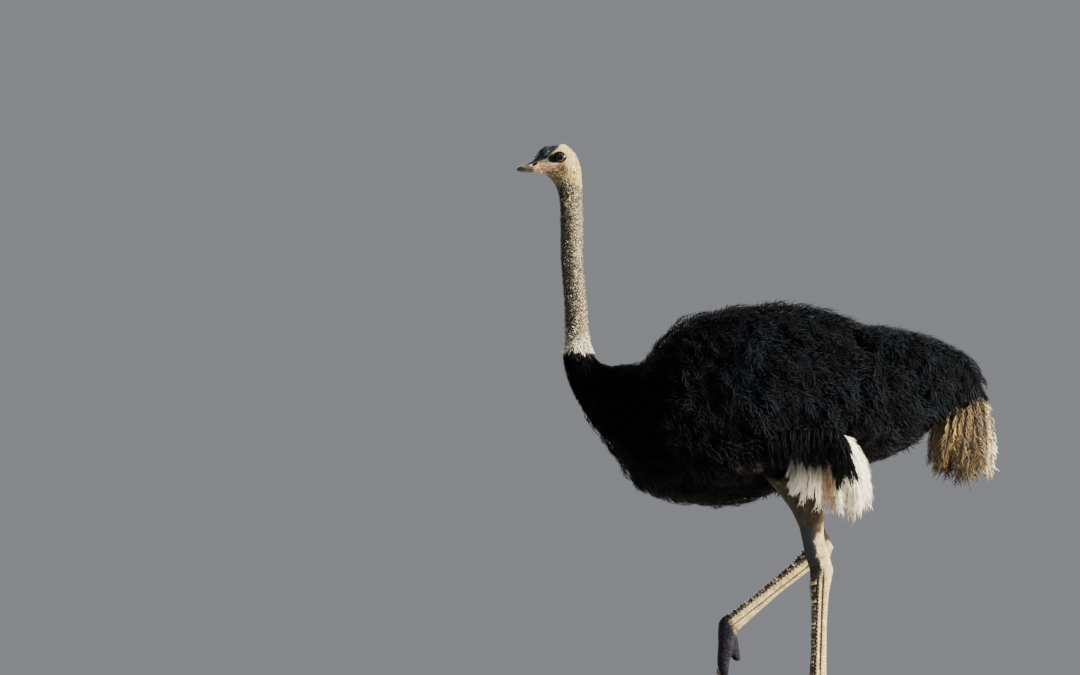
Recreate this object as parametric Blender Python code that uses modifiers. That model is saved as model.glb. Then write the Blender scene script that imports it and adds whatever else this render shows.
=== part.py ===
"""A cock ostrich in mid stride, life size, on a plain display base.

Metres, +Z up. The bird faces -X and its left side is at -Y. The origin is the middle of the base's
underside. The left leg carries the bird; the right foot is lifted and its toes hang.

Bill, head, neck and trunk are one loft along ribs, parted into pieces. A rib joins a point of the back
line to a point of the front line, so the two lines together are the bird's side outline, out to the
tips of its plumage. A wing is a patch of the trunk's own surface made thick, the white quills hang
under its end, and each leg is a row of lofts set along its bones.
"""

import math
from typing import NamedTuple

import bmesh
import bpy
from mathutils import Matrix, Vector

GAP = 0.0004  # air between neighbouring pieces
BASE_SIZE = (0.80, 0.50, 0.022)
BASE_EDGE = 0.004
SOLE = BASE_SIZE[2] + GAP  # height at which the standing foot rests

TRUNK_SIDES, NECK_SIDES, LIMB_SIDES, TOE_SIDES = 22, 16, 12, 10

EYE_RADIUS = 0.0225
EYE_FLATNESS = 0.86  # an eye's depth beside its height
EYE_CENTRE = (-0.7210, 0.0225, 1.8400)
MOUTH_HEIGHT = 1.8000
FACE = Vector((-0.774, 0, 1.829)), Vector((1, 0, 0.16)).normalized()  # where the bill's horn ends

BALL_HEIGHT = 0.046  # of the joint at the root of the toes, over the sole
# Joints of the legs: (x, distance from the midline, z).
LEFT_JOINTS = (-0.050, 0.145, 0.894), (0.128, 0.085, 0.500), (0.117, 0.075, SOLE + BALL_HEIGHT)
RIGHT_JOINTS = (-0.105, 0.145, 0.946), (0.138, 0.095, 0.555), (-0.174, 0.075, 0.298)
TOE_DROOP = math.radians(60)  # of the lifted toes
TOE_CURL = math.radians(16)
OUTER_TOE_DROOP = math.radians(14)  # how much further the outer one hangs
OUTER_TOE_SPREAD = math.radians(30)
OUTER_TOE_ROOT = (0.006, 0.030)  # behind the ball and outside it


class Rib(NamedTuple):
    """A section of the body: a point (x, z) of the back line, one of the front line, the half width, and
    how full the section is (2 is an ellipse, more is boxier)."""

    back: tuple
    front: tuple
    half: float
    full: float = 2.0


BILL_AND_HEAD = [
    Rib((-0.8640, 1.8025), (-0.8635, 1.7990), 0.0040),
    Rib((-0.8600, 1.8080), (-0.8590, 1.7950), 0.0105),
    Rib((-0.8500, 1.8145), (-0.8480, 1.7925), 0.0150, 2.2),
    Rib((-0.8340, 1.8195), (-0.8310, 1.7915), 0.0185, 2.3),
    Rib((-0.8110, 1.8310), (-0.8080, 1.7905), 0.0215, 2.3),
    Rib((-0.7880, 1.8550), (-0.7820, 1.7870), 0.0250, 2.2),
    Rib((-0.7640, 1.8750), (-0.7590, 1.7760), 0.0305, 2.2),
    Rib((-0.7360, 1.8850), (-0.7440, 1.7600), 0.0350, 2.2),
    Rib((-0.7080, 1.8850), (-0.7350, 1.7420), 0.0360, 2.1),
    Rib((-0.6840, 1.8730), (-0.7290, 1.7230), 0.0360),
    Rib((-0.6650, 1.8470), (-0.7245, 1.7020), 0.0350),
    Rib((-0.6530, 1.8050), (-0.7215, 1.6800), 0.0345),
]
NECK = [
    Rib((-0.6475, 1.7450), (-0.7215, 1.6560), 0.0345),
    Rib((-0.6445, 1.6420), (-0.7225, 1.6260), 0.0345),
    Rib((-0.6450, 1.5070), (-0.7220, 1.5070), 0.0345),
    Rib((-0.6330, 1.3730), (-0.7105, 1.3730), 0.0355),
    Rib((-0.6240, 1.2600), (-0.7075, 1.2560), 0.0385),
    Rib((-0.6150, 1.2030), (-0.7110, 1.2010), 0.0430),
    Rib((-0.5940, 1.1730), (-0.7050, 1.1410), 0.0540),
    Rib((-0.5560, 1.1560), (-0.6790, 1.0680), 0.0760),
    Rib((-0.4980, 1.1640), (-0.6300, 0.9790), 0.1130),
]
TRUNK = [
    Rib((-0.4350, 1.1830), (-0.5770, 0.9080), 0.1530),
    Rib((-0.3870, 1.2350), (-0.5350, 0.8480), 0.1880),
    Rib((-0.3420, 1.2900), (-0.4850, 0.7600), 0.2180, 2.1),
    Rib((-0.2620, 1.3260), (-0.3900, 0.7000), 0.2400, 2.2),
    Rib((-0.1480, 1.3470), (-0.2620, 0.6880), 0.2520, 2.2),
    Rib((-0.0330, 1.3610), (-0.1480, 0.6900), 0.2560, 2.2),
    Rib((0.0980, 1.3430), (-0.0160, 0.7300), 0.2560, 2.2),
    Rib((0.2300, 1.3060), (0.1150, 0.7780), 0.2480, 2.1),
    Rib((0.3610, 1.2800), (0.2620, 0.8220), 0.2280, 2.1),
    Rib((0.4750, 1.2560), (0.3700, 0.8600), 0.1980),
    Rib((0.5740, 1.2130), (0.4520, 0.9180), 0.1600),
    Rib((0.6390, 1.1640), (0.5180, 0.9640), 0.1180),
    Rib((0.6700, 1.1000), (0.5800, 0.9950), 0.0760),
    Rib((0.6660, 1.0540), (0.6240, 1.0100), 0.0320),
]
BODY = BILL_AND_HEAD + NECK + TRUNK
NECK_TOP = len(BILL_AND_HEAD)
NECK_MIDDLE, NECK_FOOT = NECK_TOP + 2, NECK_TOP + 5
TRUNK_START, TRUNK_END = NECK_TOP + len(NECK), len(BODY) - 1
TAIL = [
    Rib((0.6450, 1.1000), (0.5600, 1.0600), 0.0400),
    Rib((0.6900, 1.0500), (0.5300, 1.0100), 0.0850),
    Rib((0.7220, 0.9860), (0.4950, 0.9500), 0.1100),
    Rib((0.7300, 0.9130), (0.4900, 0.8930), 0.1200, 2.3),
    Rib((0.7220, 0.8450), (0.5080, 0.8350), 0.1180, 2.3),
    Rib((0.6980, 0.7900), (0.5320, 0.7850), 0.0980, 2.2),
    Rib((0.6620, 0.7590), (0.5650, 0.7560), 0.0600),
]
QUILLS = [
    Rib((0.2180, 0.9200), (0.0900, 0.8950), 0.0200),
    Rib((0.2700, 0.8560), (0.0200, 0.8380), 0.0300, 2.2),
    Rib((0.3020, 0.7850), (0.0220, 0.7730), 0.0340, 2.2),
    Rib((0.3180, 0.7180), (0.0660, 0.7080), 0.0330, 2.2),
    Rib((0.3130, 0.6690), (0.1640, 0.6760), 0.0280, 2.1),
    Rib((0.2800, 0.6320), (0.2260, 0.6380), 0.0150),
]
QUILLS_OUT = (0.262, 0.235)  # distance of the quills' middle from the midline, at their top and their tips

# Outline of a folded wing on the trunk: (rib of the trunk, upper edge and lower edge in degrees round the
# section from the back line, thickness over the trunk, depth into it).
WING = [
    (1.45, 88, 101, 0.006, 0.004),
    (1.75, 73, 112, 0.026, 0.014),
    (2.30, 61, 121, 0.040, 0.022),
    (3.20, 51, 129, 0.051, 0.028),
    (4.20, 48, 135, 0.055, 0.030),
    (5.20, 51, 138, 0.053, 0.030),
    (6.10, 61, 137, 0.047, 0.026),
    (6.90, 76, 134, 0.038, 0.020),
    (7.50, 92, 130, 0.026, 0.014),
    (7.80, 106, 123, 0.010, 0.006),
]
WING_ACROSS = 7  # spans from the upper edge to the lower one

# Sections of the legs: (share of the bone's length, reach forwards, reach backwards, half width).
DRUMSTICK = [
    (-0.12, 0.030, 0.060, 0.030),
    (-0.06, 0.055, 0.110, 0.060),
    (0.06, 0.062, 0.150, 0.078),
    (0.20, 0.048, 0.165, 0.082),
    (0.36, 0.025, 0.150, 0.076),
    (0.52, 0.010, 0.115, 0.060),
    (0.66, 0.009, 0.080, 0.044),
    (0.78, 0.020, 0.055, 0.034),
    (0.88, 0.031, 0.045, 0.033),
    (0.97, 0.032, 0.043, 0.036),
    (1.04, 0.028, 0.036, 0.030),
    (1.07, 0.014, 0.016, 0.014),
]
TARSUS = [
    (-0.06, 0.024, 0.024, 0.022),
    (0.00, 0.036, 0.044, 0.034),
    (0.08, 0.032, 0.040, 0.031),
    (0.20, 0.026, 0.030, 0.024),
    (0.45, 0.023, 0.026, 0.020),
    (0.70, 0.023, 0.028, 0.021),
    (0.86, 0.027, 0.032, 0.026),
    (0.94, 0.031, 0.034, 0.030),
    (0.99, 0.024, 0.026, 0.024),
    (1.01, 0.012, 0.012, 0.012),
]
# Sections of the toes: (distance from the ball, height over the sole, half width, half height).
INNER_TOE = [
    (-0.034, 0.050, 0.016, 0.014),
    (-0.024, 0.049, 0.026, 0.024),
    (0.000, 0.046, 0.031, 0.030),
    (0.030, 0.034, 0.030, 0.028),
    (0.065, 0.022, 0.029, 0.025),
    (0.100, 0.019, 0.028, 0.022),
    (0.130, 0.017, 0.026, 0.020),
    (0.152, 0.014, 0.022, 0.017),
    (0.166, 0.011, 0.014, 0.011),
]
OUTER_TOE = [
    (-0.020, 0.046, 0.012, 0.012),
    (-0.010, 0.044, 0.020, 0.020),
    (0.010, 0.038, 0.023, 0.023),
    (0.040, 0.024, 0.021, 0.020),
    (0.070, 0.016, 0.019, 0.017),
    (0.095, 0.013, 0.017, 0.015),
    (0.112, 0.011, 0.011, 0.011),
]
CLAW = [
    (0.135, 0.022, 0.009, 0.008),
    (0.152, 0.024, 0.014, 0.010),
    (0.170, 0.018, 0.0125, 0.009),
    (0.188, 0.011, 0.0085, 0.0065),
    (0.200, 0.006, 0.0030, 0.0030),
]


# ---------------------------------------------------------------- lofts


def between(before, start, end, after, t):
    """A Catmull-Rom curve from start to end."""
    bend = (2 * before - 5 * start + 4 * end - after) * t**2
    twist = (3 * start - before - 3 * end + after) * t**3
    return 0.5 * (2 * start + (end - before) * t + bend + twist)


def smooth_rows(rows, steps):
    """The rows of numbers, with steps - 1 more between each two."""
    ended = [rows[0], *rows, rows[-1]]
    found = []
    for span in zip(ended, ended[1:], ended[2:], ended[3:]):
        for step in range(steps):
            found.append([between(*numbers, step / steps) for numbers in zip(*span)])
    found.append(list(rows[-1]))
    return found


def power(value, exponent):
    return math.copysign(abs(value) ** exponent, value)


def section(centre, up, side, full, sides):
    """Points round a section, from the tip of `up` towards the tip of `side`."""
    turns = [2 * math.pi * i / sides for i in range(sides)]
    return [centre + up * power(math.cos(a), 2 / full) + side * power(math.sin(a), 2 / full) for a in turns]


def loft(name, rings):
    """A closed mesh through rings that all have the same number of points."""
    bm = bmesh.new()
    loops = [[bm.verts.new(point) for point in ring] for ring in rings]
    count = len(loops[0])
    for low, high in zip(loops, loops[1:]):
        for i in range(count):
            j = (i + 1) % count
            bm.faces.new((low[i], low[j], high[j]))
            bm.faces.new((low[i], high[j], high[i]))
    bm.faces.new(loops[0][::-1])
    bm.faces.new(loops[-1])
    bmesh.ops.recalc_face_normals(bm, faces=bm.faces)
    return mesh_from(bm, name)


def mesh_from(bm, name):
    mesh = bpy.data.meshes.new(name)
    bm.to_mesh(mesh)
    bm.free()
    return mesh


def keep_side(mesh, point, away):
    """Cuts a closed mesh with a plane and keeps the side that `away` points away from."""
    bm = bmesh.new()
    bm.from_mesh(mesh)
    everything = bm.verts[:] + bm.edges[:] + bm.faces[:]
    cut = bmesh.ops.bisect_plane(bm, geom=everything, plane_co=point, plane_no=away, clear_outer=True)
    rim = [piece for piece in cut["geom_cut"] if isinstance(piece, bmesh.types.BMEdge)]
    bmesh.ops.edgeloop_fill(bm, edges=rim)
    bmesh.ops.recalc_face_normals(bm, faces=bm.faces)
    bm.to_mesh(mesh)
    bm.free()
    return mesh


# ---------------------------------------------------------------- objects


def collection(name):
    made = bpy.data.collections.new(name)
    bpy.context.scene.collection.children.link(made)
    return made


def material(name, colour, roughness):
    made = bpy.data.materials.new(name)
    made.use_nodes = True
    shader = made.node_tree.nodes["Principled BSDF"]
    shader.inputs["Base Color"].default_value = (*colour, 1)
    shader.inputs["Roughness"].default_value = roughness
    shader.inputs["Metallic"].default_value = 0
    return made


def part(mesh, finish):
    """A piece of the model under its mesh's name, shaded smooth."""
    made = bpy.data.objects.new(mesh.name, mesh)
    PARTS.objects.link(made)
    mesh.materials.append(finish)
    mesh.shade_smooth()
    return made


def cutter(mesh):
    made = bpy.data.objects.new(mesh.name, mesh)
    CUTTERS.objects.link(made)
    made.hide_render = True
    made.display_type = "WIRE"
    return made


def carve(target, *cutters):
    for tool in cutters:
        cut = target.modifiers.new("carve_" + tool.name, "BOOLEAN")
        cut.operation = "DIFFERENCE"
        cut.solver = "EXACT"
        cut.object = tool


# ---------------------------------------------------------------- bill, head, neck and trunk


def rib_rows(ribs, steps):
    return smooth_rows([[*r.back, *r.front, r.half, r.full] for r in ribs], steps)


def rib_ring(row, sides, grow=0.0, middle=0.0):
    """The points round a row, swollen by `grow`, about the plane y = middle."""
    back, front = Vector((row[0], middle, row[1])), Vector((row[2], middle, row[3]))
    up = (back - front) / 2
    up += up.normalized() * grow
    return section((back + front) / 2, up, Vector((0, row[4] + grow, 0)), row[5], sides)


def tailward(row):
    """The normal of a row's plane, towards the tail."""
    return Vector((0, 1, 0)).cross(Vector((row[0] - row[2], 0, row[1] - row[3]))).normalized()


def stretch_of_body(name, first, last, sides, steps, grow=0.0):
    """The body from one rib to another, drawn back by half a gap where the next piece starts."""
    rows = rib_rows(BODY, steps)[steps * first : steps * last + 1]
    rings = [rib_ring(row, sides, grow) for row in rows]
    if first > 0:
        rings[0] = [point + tailward(rows[0]) * GAP / 2 for point in rings[0]]
    beyond = -GAP / 2 if last < TRUNK_END else grow
    rings[-1] = [point + tailward(rows[-1]) * beyond for point in rings[-1]]
    return loft(name, rings)


def make_bill(horn):
    """Upper and lower bill, parted along the mouth."""
    for name, side in (("bill_upper", 1), ("bill_lower", -1)):
        mesh = stretch_of_body(name, 0, NECK_TOP, NECK_SIDES, 1)
        keep_side(mesh, FACE[0] - FACE[1] * GAP / 2, FACE[1])
        keep_side(mesh, Vector((0, 0, MOUTH_HEIGHT + side * GAP / 2)), Vector((0, 0, -side)))
        part(mesh, horn)


def eyeball(name, side, radius):
    """A slightly flat ball whose poles lie on the line through both eyes."""
    bm = bmesh.new()
    bmesh.ops.create_uvsphere(bm, u_segments=14, v_segments=8, radius=radius)
    bmesh.ops.scale(bm, verts=bm.verts, vec=(1, 1, EYE_FLATNESS))
    bmesh.ops.rotate(bm, verts=bm.verts, matrix=Matrix.Rotation(math.pi / 2, 3, "X"))
    bmesh.ops.translate(bm, verts=bm.verts, vec=(EYE_CENTRE[0], EYE_CENTRE[1] * side, EYE_CENTRE[2]))
    return mesh_from(bm, name)


def make_head(skin, eye_finish):
    mesh = stretch_of_body("head", 0, NECK_TOP, NECK_SIDES, 1)
    head = part(keep_side(mesh, FACE[0] + FACE[1] * GAP / 2, -FACE[1]), skin)
    for name, side in (("left_eye", -1), ("right_eye", 1)):
        part(eyeball(name, side, EYE_RADIUS), eye_finish)
        carve(head, cutter(eyeball(f"{name}_socket", side, EYE_RADIUS + GAP)))


# ---------------------------------------------------------------- wings


def on_trunk(rib, degrees, side, raised):
    """A point over the trunk: `rib` counts ribs, `degrees` go round from the back line."""
    low = int(rib)
    span = [TRUNK[min(max(i, 0), len(TRUNK) - 1)] for i in (low - 1, low, low + 1, low + 2)]
    rows = [[*r.back, *r.front, r.half, r.full] for r in span]
    x_back, z_back, x_front, z_front, half, full = (between(*n, rib - low) for n in zip(*rows))
    back, front = Vector((x_back, 0, z_back)), Vector((x_front, 0, z_front))
    angle = math.radians(degrees)
    up = (back - front) / 2 * power(math.cos(angle), 2 / full)
    spoke = up + Vector((0, side * half * power(math.sin(angle), 2 / full), 0))
    return (back + front) / 2 + spoke + spoke.normalized() * raised


def wing_mesh(name, side, grow=0.0):
    """A folded wing. `grow` swells it all round."""
    rings = []
    rows = smooth_rows(WING, 2)
    for number, (rib, top, bottom, raised, bedded) in enumerate(rows):
        if number in (0, len(rows) - 1):
            rib += grow * 12 * (-1 if number == 0 else 1)
        outer, inner = [], []
        for j in range(WING_ACROSS + 1):
            v = j / WING_ACROSS
            degrees = top - grow * 250 + (bottom - top + grow * 500) * v
            swell = math.sin(math.pi * (0.06 + 0.88 * v)) ** 0.6
            outer.append(on_trunk(rib, degrees, side, raised * swell + grow))
            inner.append(on_trunk(rib, degrees, side, -bedded * swell - grow))
        rings.append(outer + inner[::-1])
    return loft(name, rings)


def quill_mesh(name, side, grow=0.0):
    """The white quills that hang under the wing's end."""
    rows = rib_rows(QUILLS, 1)
    rings = []
    for i, row in enumerate(rows):
        out = QUILLS_OUT[0] + (QUILLS_OUT[1] - QUILLS_OUT[0]) * i / (len(rows) - 1)
        rings.append(rib_ring(row, NECK_SIDES, grow, side * out))
    return loft(name, rings)


# ---------------------------------------------------------------- legs


def limb_mesh(name, start, end, sections, grow=0.0):
    """A loft along a bone; forwards is the side of the bone that looks to -X."""
    bone = end - start
    along = bone.normalized()
    ahead = Vector((-1, 0, 0))
    forwards = (ahead - along * along.dot(ahead)).normalized()
    sideways = along.cross(forwards)
    rings = []
    for number, (share, reach, behind, half) in enumerate(sections):
        over = {0: -grow, len(sections) - 1: grow}.get(number, 0)
        centre = start + bone * share + along * over + forwards * (reach - behind) / 2
        up = forwards * ((reach + behind) / 2 + grow)
        rings.append(section(centre, up, sideways * (half + grow), 2.0, LIMB_SIDES))
    return loft(name, rings)


class Toe(NamedTuple):
    """How a toe sits: its root, how far it turns outwards, hangs and curls, and the floor under it."""

    root: Vector
    heading: float
    droop: float
    curl: float
    floor: float | None


def toe_mesh(name, toe, sections, grow=0.0):
    """A toe, or its claw, cut flat where it stands on the floor."""
    ahead = Vector((-math.cos(toe.heading), math.sin(toe.heading), 0))
    sideways = Vector((math.sin(toe.heading), math.cos(toe.heading), 0))
    rings = []
    for number, (distance, height, half, tall) in enumerate(sections):
        over = {0: -grow, len(sections) - 1: grow}.get(number, 0)
        tip = toe.droop + toe.curl * max(0.0, distance) / sections[-1][0]
        along = ahead * math.cos(tip) - Vector((0, 0, math.sin(tip)))
        upward = ahead * math.sin(tip) + Vector((0, 0, math.cos(tip)))
        centre = toe.root + along * (distance + over) + upward * (height - BALL_HEIGHT)
        rings.append(section(centre, upward * (tall + grow), sideways * (half + grow), 2.4, TOE_SIDES))
    mesh = loft(name, rings)
    if toe.floor is not None:
        keep_side(mesh, Vector((0, 0, toe.floor - grow)), Vector((0, 0, -1)))
    return mesh


def leg_pieces(name, side, joints, lifted, grow):
    """Meshes of one leg, plain or swollen by `grow`."""
    knee, hock, ball = (Vector((x, side * out, z)) for x, out, z in joints)
    behind, outside = OUTER_TOE_ROOT
    outer_root = ball + Vector((behind, side * outside, 0))
    spread = side * OUTER_TOE_SPREAD
    if lifted:
        inner = Toe(ball, 0, TOE_DROOP, TOE_CURL, None)
        outer = Toe(outer_root, spread, TOE_DROOP + OUTER_TOE_DROOP, TOE_CURL, None)
    else:
        inner = Toe(ball, 0, 0, 0, SOLE)
        outer = Toe(outer_root, spread, 0, 0, SOLE)
    return {
        "drumstick": limb_mesh(f"{name}_drumstick", knee, hock, DRUMSTICK, grow),
        "tarsus": limb_mesh(f"{name}_tarsus", hock, ball, TARSUS, grow),
        "inner_toe": toe_mesh(f"{name}_inner_toe", inner, INNER_TOE, grow),
        "outer_toe": toe_mesh(f"{name}_outer_toe", outer, OUTER_TOE, grow),
        "claw": toe_mesh(f"{name}_claw", inner, CLAW, grow),
    }


def make_leg(name, side, joints, lifted, skin, horn):
    """A leg, and the space its drumstick needs in the trunk."""
    spaces = leg_pieces(f"{name}_space", side, joints, lifted, GAP)
    spaces = {piece: cutter(mesh) for piece, mesh in spaces.items()}
    plain = leg_pieces(name, side, joints, lifted, 0.0)
    made = {piece: part(mesh, horn if piece == "claw" else skin) for piece, mesh in plain.items()}
    carve(made["tarsus"], spaces["drumstick"], spaces["inner_toe"], spaces["outer_toe"])
    carve(made["inner_toe"], spaces["claw"])
    carve(made["outer_toe"], spaces["inner_toe"])
    return made["drumstick"], spaces["drumstick"]


def make_base(finish):
    bm = bmesh.new()
    bmesh.ops.create_cube(bm, size=1)
    bmesh.ops.scale(bm, verts=bm.verts, vec=BASE_SIZE)
    bmesh.ops.translate(bm, verts=bm.verts, vec=(0, 0, BASE_SIZE[2] / 2))
    base = bpy.data.objects.new("stand_base", mesh_from(bm, "stand_base"))
    PARTS.objects.link(base)
    base.data.materials.append(finish)
    bevel = base.modifiers.new("soft_edges", "BEVEL")
    bevel.width = BASE_EDGE
    bevel.segments = 2


# ---------------------------------------------------------------- the whole bird

for old in list(bpy.data.objects):
    bpy.data.objects.remove(old)
PARTS, CUTTERS = collection("ostrich"), collection("cutters")

black = material("black_plumage", (0.012, 0.012, 0.015), 0.75)
white = material("white_quills", (0.80, 0.76, 0.68), 0.8)
brown = material("tail_plumes", (0.56, 0.43, 0.30), 0.8)
head_down = material("head_down", (0.55, 0.52, 0.44), 0.75)
neck_down = material("neck_down", (0.45, 0.43, 0.38), 0.8)
bill_horn = material("bill_horn", (0.50, 0.38, 0.30), 0.45)
eye = material("eye", (0.02, 0.013, 0.010), 0.08)
leg_skin = material("leg_skin", (0.42, 0.37, 0.33), 0.6)
claw_horn = material("claw_horn", (0.10, 0.09, 0.085), 0.4)
base_wood = material("stand_wood", (0.16, 0.10, 0.06), 0.5)

make_bill(bill_horn)
make_head(head_down, eye)
part(stretch_of_body("neck_upper", NECK_TOP, NECK_MIDDLE, NECK_SIDES, 1), neck_down)
part(stretch_of_body("neck_middle", NECK_MIDDLE, NECK_FOOT, NECK_SIDES, 2), neck_down)
part(stretch_of_body("neck_base", NECK_FOOT, TRUNK_START, TRUNK_SIDES, 2), black)
trunk = part(stretch_of_body("trunk", TRUNK_START, TRUNK_END, TRUNK_SIDES, 2), black)

for name, side, joints, lifted in (
    ("left", -1, LEFT_JOINTS, False),
    ("right", 1, RIGHT_JOINTS, True),
):
    drumstick, drumstick_space = make_leg(name, side, joints, lifted, leg_skin, claw_horn)
    part(wing_mesh(f"{name}_wing", side), black)
    wing_space = cutter(wing_mesh(f"{name}_wing_space", side, GAP))
    quills = part(quill_mesh(f"{name}_quills", side), white)
    quill_space = cutter(quill_mesh(f"{name}_quill_space", side, GAP))
    carve(drumstick, wing_space)
    carve(quills, wing_space, drumstick_space)
    carve(trunk, wing_space, drumstick_space, quill_space)

tail = part(loft("tail", [rib_ring(row, NECK_SIDES) for row in rib_rows(TAIL, 2)]), brown)
carve(tail, cutter(stretch_of_body("rump_space", TRUNK_END - 6, TRUNK_END, TRUNK_SIDES, 2, GAP)))
make_base(base_wood)
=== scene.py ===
# %% [markdown]
# # A cock ostrich, dressed for show
#
# The frame holds the bird's solids: bill, head, neck, trunk, wings, legs and the base it stands on. They
# give the outline out to the tips of the plumage. This lesson grows one skin inside them, lays the
# feathers over it, and gives every surface its finish.

import math
import random

import bmesh
import bpy
import numpy as np
from mathutils import Matrix, Vector
from mathutils.bvhtree import BVHTree


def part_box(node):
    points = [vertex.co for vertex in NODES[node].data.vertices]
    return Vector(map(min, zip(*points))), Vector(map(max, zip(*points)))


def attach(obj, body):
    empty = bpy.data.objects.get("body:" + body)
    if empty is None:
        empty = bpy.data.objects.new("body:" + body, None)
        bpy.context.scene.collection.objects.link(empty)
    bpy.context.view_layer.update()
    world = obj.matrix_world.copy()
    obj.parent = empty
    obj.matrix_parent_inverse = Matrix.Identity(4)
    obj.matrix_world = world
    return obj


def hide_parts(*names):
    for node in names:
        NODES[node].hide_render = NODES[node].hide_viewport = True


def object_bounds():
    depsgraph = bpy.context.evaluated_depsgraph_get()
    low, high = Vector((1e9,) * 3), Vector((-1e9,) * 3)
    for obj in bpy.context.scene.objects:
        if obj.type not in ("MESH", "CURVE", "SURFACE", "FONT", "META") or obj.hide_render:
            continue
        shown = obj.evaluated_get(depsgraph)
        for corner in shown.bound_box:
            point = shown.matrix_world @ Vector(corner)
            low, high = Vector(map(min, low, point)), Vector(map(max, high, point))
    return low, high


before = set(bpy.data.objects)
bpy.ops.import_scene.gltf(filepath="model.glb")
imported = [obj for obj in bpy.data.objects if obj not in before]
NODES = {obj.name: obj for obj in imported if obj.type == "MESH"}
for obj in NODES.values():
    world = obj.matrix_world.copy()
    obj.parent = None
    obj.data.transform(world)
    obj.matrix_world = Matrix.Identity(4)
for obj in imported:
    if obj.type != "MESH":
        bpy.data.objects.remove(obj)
frame_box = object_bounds()
print("frame", len(NODES), "nodes, box", [[round(c, 3) for c in corner] for corner in frame_box])

# %% [markdown]
# Everything below is in metres. The bird faces -X, and its left side, which is the near one, is at -Y.
# A few places on the head are named once here, because the skin, the eyes, the bill and the colours all
# need them. Each is given for one side and mirrored.

# %% Places on the head
eye_low, eye_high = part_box("left_eye")
EYE = Vector(((eye_low.x + eye_high.x) / 2, 0, (eye_low.z + eye_high.z) / 2))
EYE_OUT = -(eye_low.y + eye_high.y) / 2  # how far the ball's middle is from the midline
EYE_RADIUS = (eye_high.x - eye_low.x) / 2 + 0.0006
EYE_DEPTH = (eye_high.y - eye_low.y) / 2
MOUTH = (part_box("bill_upper")[0].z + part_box("bill_lower")[1].z) / 2
BILL_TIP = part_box("bill_upper")[0].x
SKIN_EDGE = BILL_TIP + 0.073  # where the soft skin gives way to horn
GAPE = Vector((-0.725, 0, 1.809))  # the corner of the mouth
NOSTRIL = Vector((-0.8048, 0, 1.818))
EAR = Vector((-0.676, 0, 1.792))
print("eye at", [round(c, 4) for c in EYE], "mouth at", round(MOUTH, 4))

# %% [markdown]
# ## The skin
#
# A real ostrich wears its plumes over one unbroken skin, so the head, neck and trunk are one surface here.
# Sculpting it by hand would be slow and would drift from the solids. Instead, rings of rays are shot at
# the solids from outside, all along the bird. Each ring lies in a plane through a point of the back line
# and one of the front line, so the rings can turn with the head and the neck without crossing. Where a ray
# lands, the skin lies a little deeper, by the depth of the coat there.

# %% Planes of the rings
# Back point (x, z), front point (x, z), half width with room to spare, depth of the coat.
PLANES = np.array([
    (SKIN_EDGE, 1.8450, SKIN_EDGE + 0.002, 1.7890, 0.05, 0.0004),
    (-0.7800, 1.8610, -0.7740, 1.7840, 0.05, 0.0006),
    (-0.7640, 1.8750, -0.7590, 1.7760, 0.06, 0.0010),
    (-0.7360, 1.8850, -0.7440, 1.7600, 0.06, 0.0016),
    (-0.7080, 1.8850, -0.7350, 1.7420, 0.06, 0.0022),
    (-0.6840, 1.8730, -0.7290, 1.7230, 0.06, 0.0025),
    (-0.6650, 1.8470, -0.7245, 1.7020, 0.06, 0.0027),
    (-0.6530, 1.8050, -0.7215, 1.6800, 0.06, 0.0030),
    (-0.6475, 1.7450, -0.7215, 1.6560, 0.06, 0.0032),
    (-0.6445, 1.6420, -0.7225, 1.6260, 0.06, 0.0034),
    (-0.6450, 1.5070, -0.7220, 1.5070, 0.06, 0.0036),
    (-0.6330, 1.3730, -0.7105, 1.3730, 0.06, 0.0038),
    (-0.6240, 1.2600, -0.7075, 1.2560, 0.06, 0.0045),
    (-0.6150, 1.2030, -0.7110, 1.2010, 0.07, 0.0060),
    (-0.5940, 1.1730, -0.7050, 1.1410, 0.09, 0.0090),
    (-0.5560, 1.1560, -0.6790, 1.0680, 0.12, 0.0140),
    (-0.4980, 1.1640, -0.6300, 0.9790, 0.18, 0.0200),
    (-0.4350, 1.1830, -0.5770, 0.9080, 0.24, 0.0270),
    (-0.3870, 1.2350, -0.5350, 0.8480, 0.28, 0.0330),
    (-0.3420, 1.2900, -0.4850, 0.7600, 0.36, 0.0360),
    (-0.2620, 1.3260, -0.3900, 0.7000, 0.36, 0.0360),
    (-0.1480, 1.3470, -0.2620, 0.6880, 0.36, 0.0360),
    (-0.0330, 1.3610, -0.1480, 0.6900, 0.36, 0.0360),
    (0.0980, 1.3430, -0.0160, 0.7300, 0.36, 0.0360),
    (0.2300, 1.3060, 0.1150, 0.7780, 0.36, 0.0360),
    (0.3610, 1.2800, 0.2620, 0.8220, 0.30, 0.0360),
    (0.4750, 1.2560, 0.3700, 0.8600, 0.26, 0.0350),
    (0.5740, 1.2130, 0.4520, 0.9180, 0.22, 0.0330),
    (0.6390, 1.1640, 0.5180, 0.9640, 0.18, 0.0300),
    (0.6600, 1.1100, 0.5700, 0.9900, 0.14, 0.0240),
])
HEAD_END, NECK_END = 8, 13  # rows where the head and the bare neck end
AROUND = 176  # points round every ring


def curve_at(table, t):
    """A smooth curve through the table's rows, at row number t."""
    low = min(int(t), len(table) - 2)
    before, start, end, after = (table[min(max(low + i, 0), len(table) - 1)] for i in (-1, 0, 1, 2))
    t -= low
    bend = (2 * before - 5 * start + 4 * end - after) * t**2
    twist = (3 * start - before - 3 * end + after) * t**3
    return 0.5 * (2 * start + (end - before) * t + bend + twist)


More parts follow.
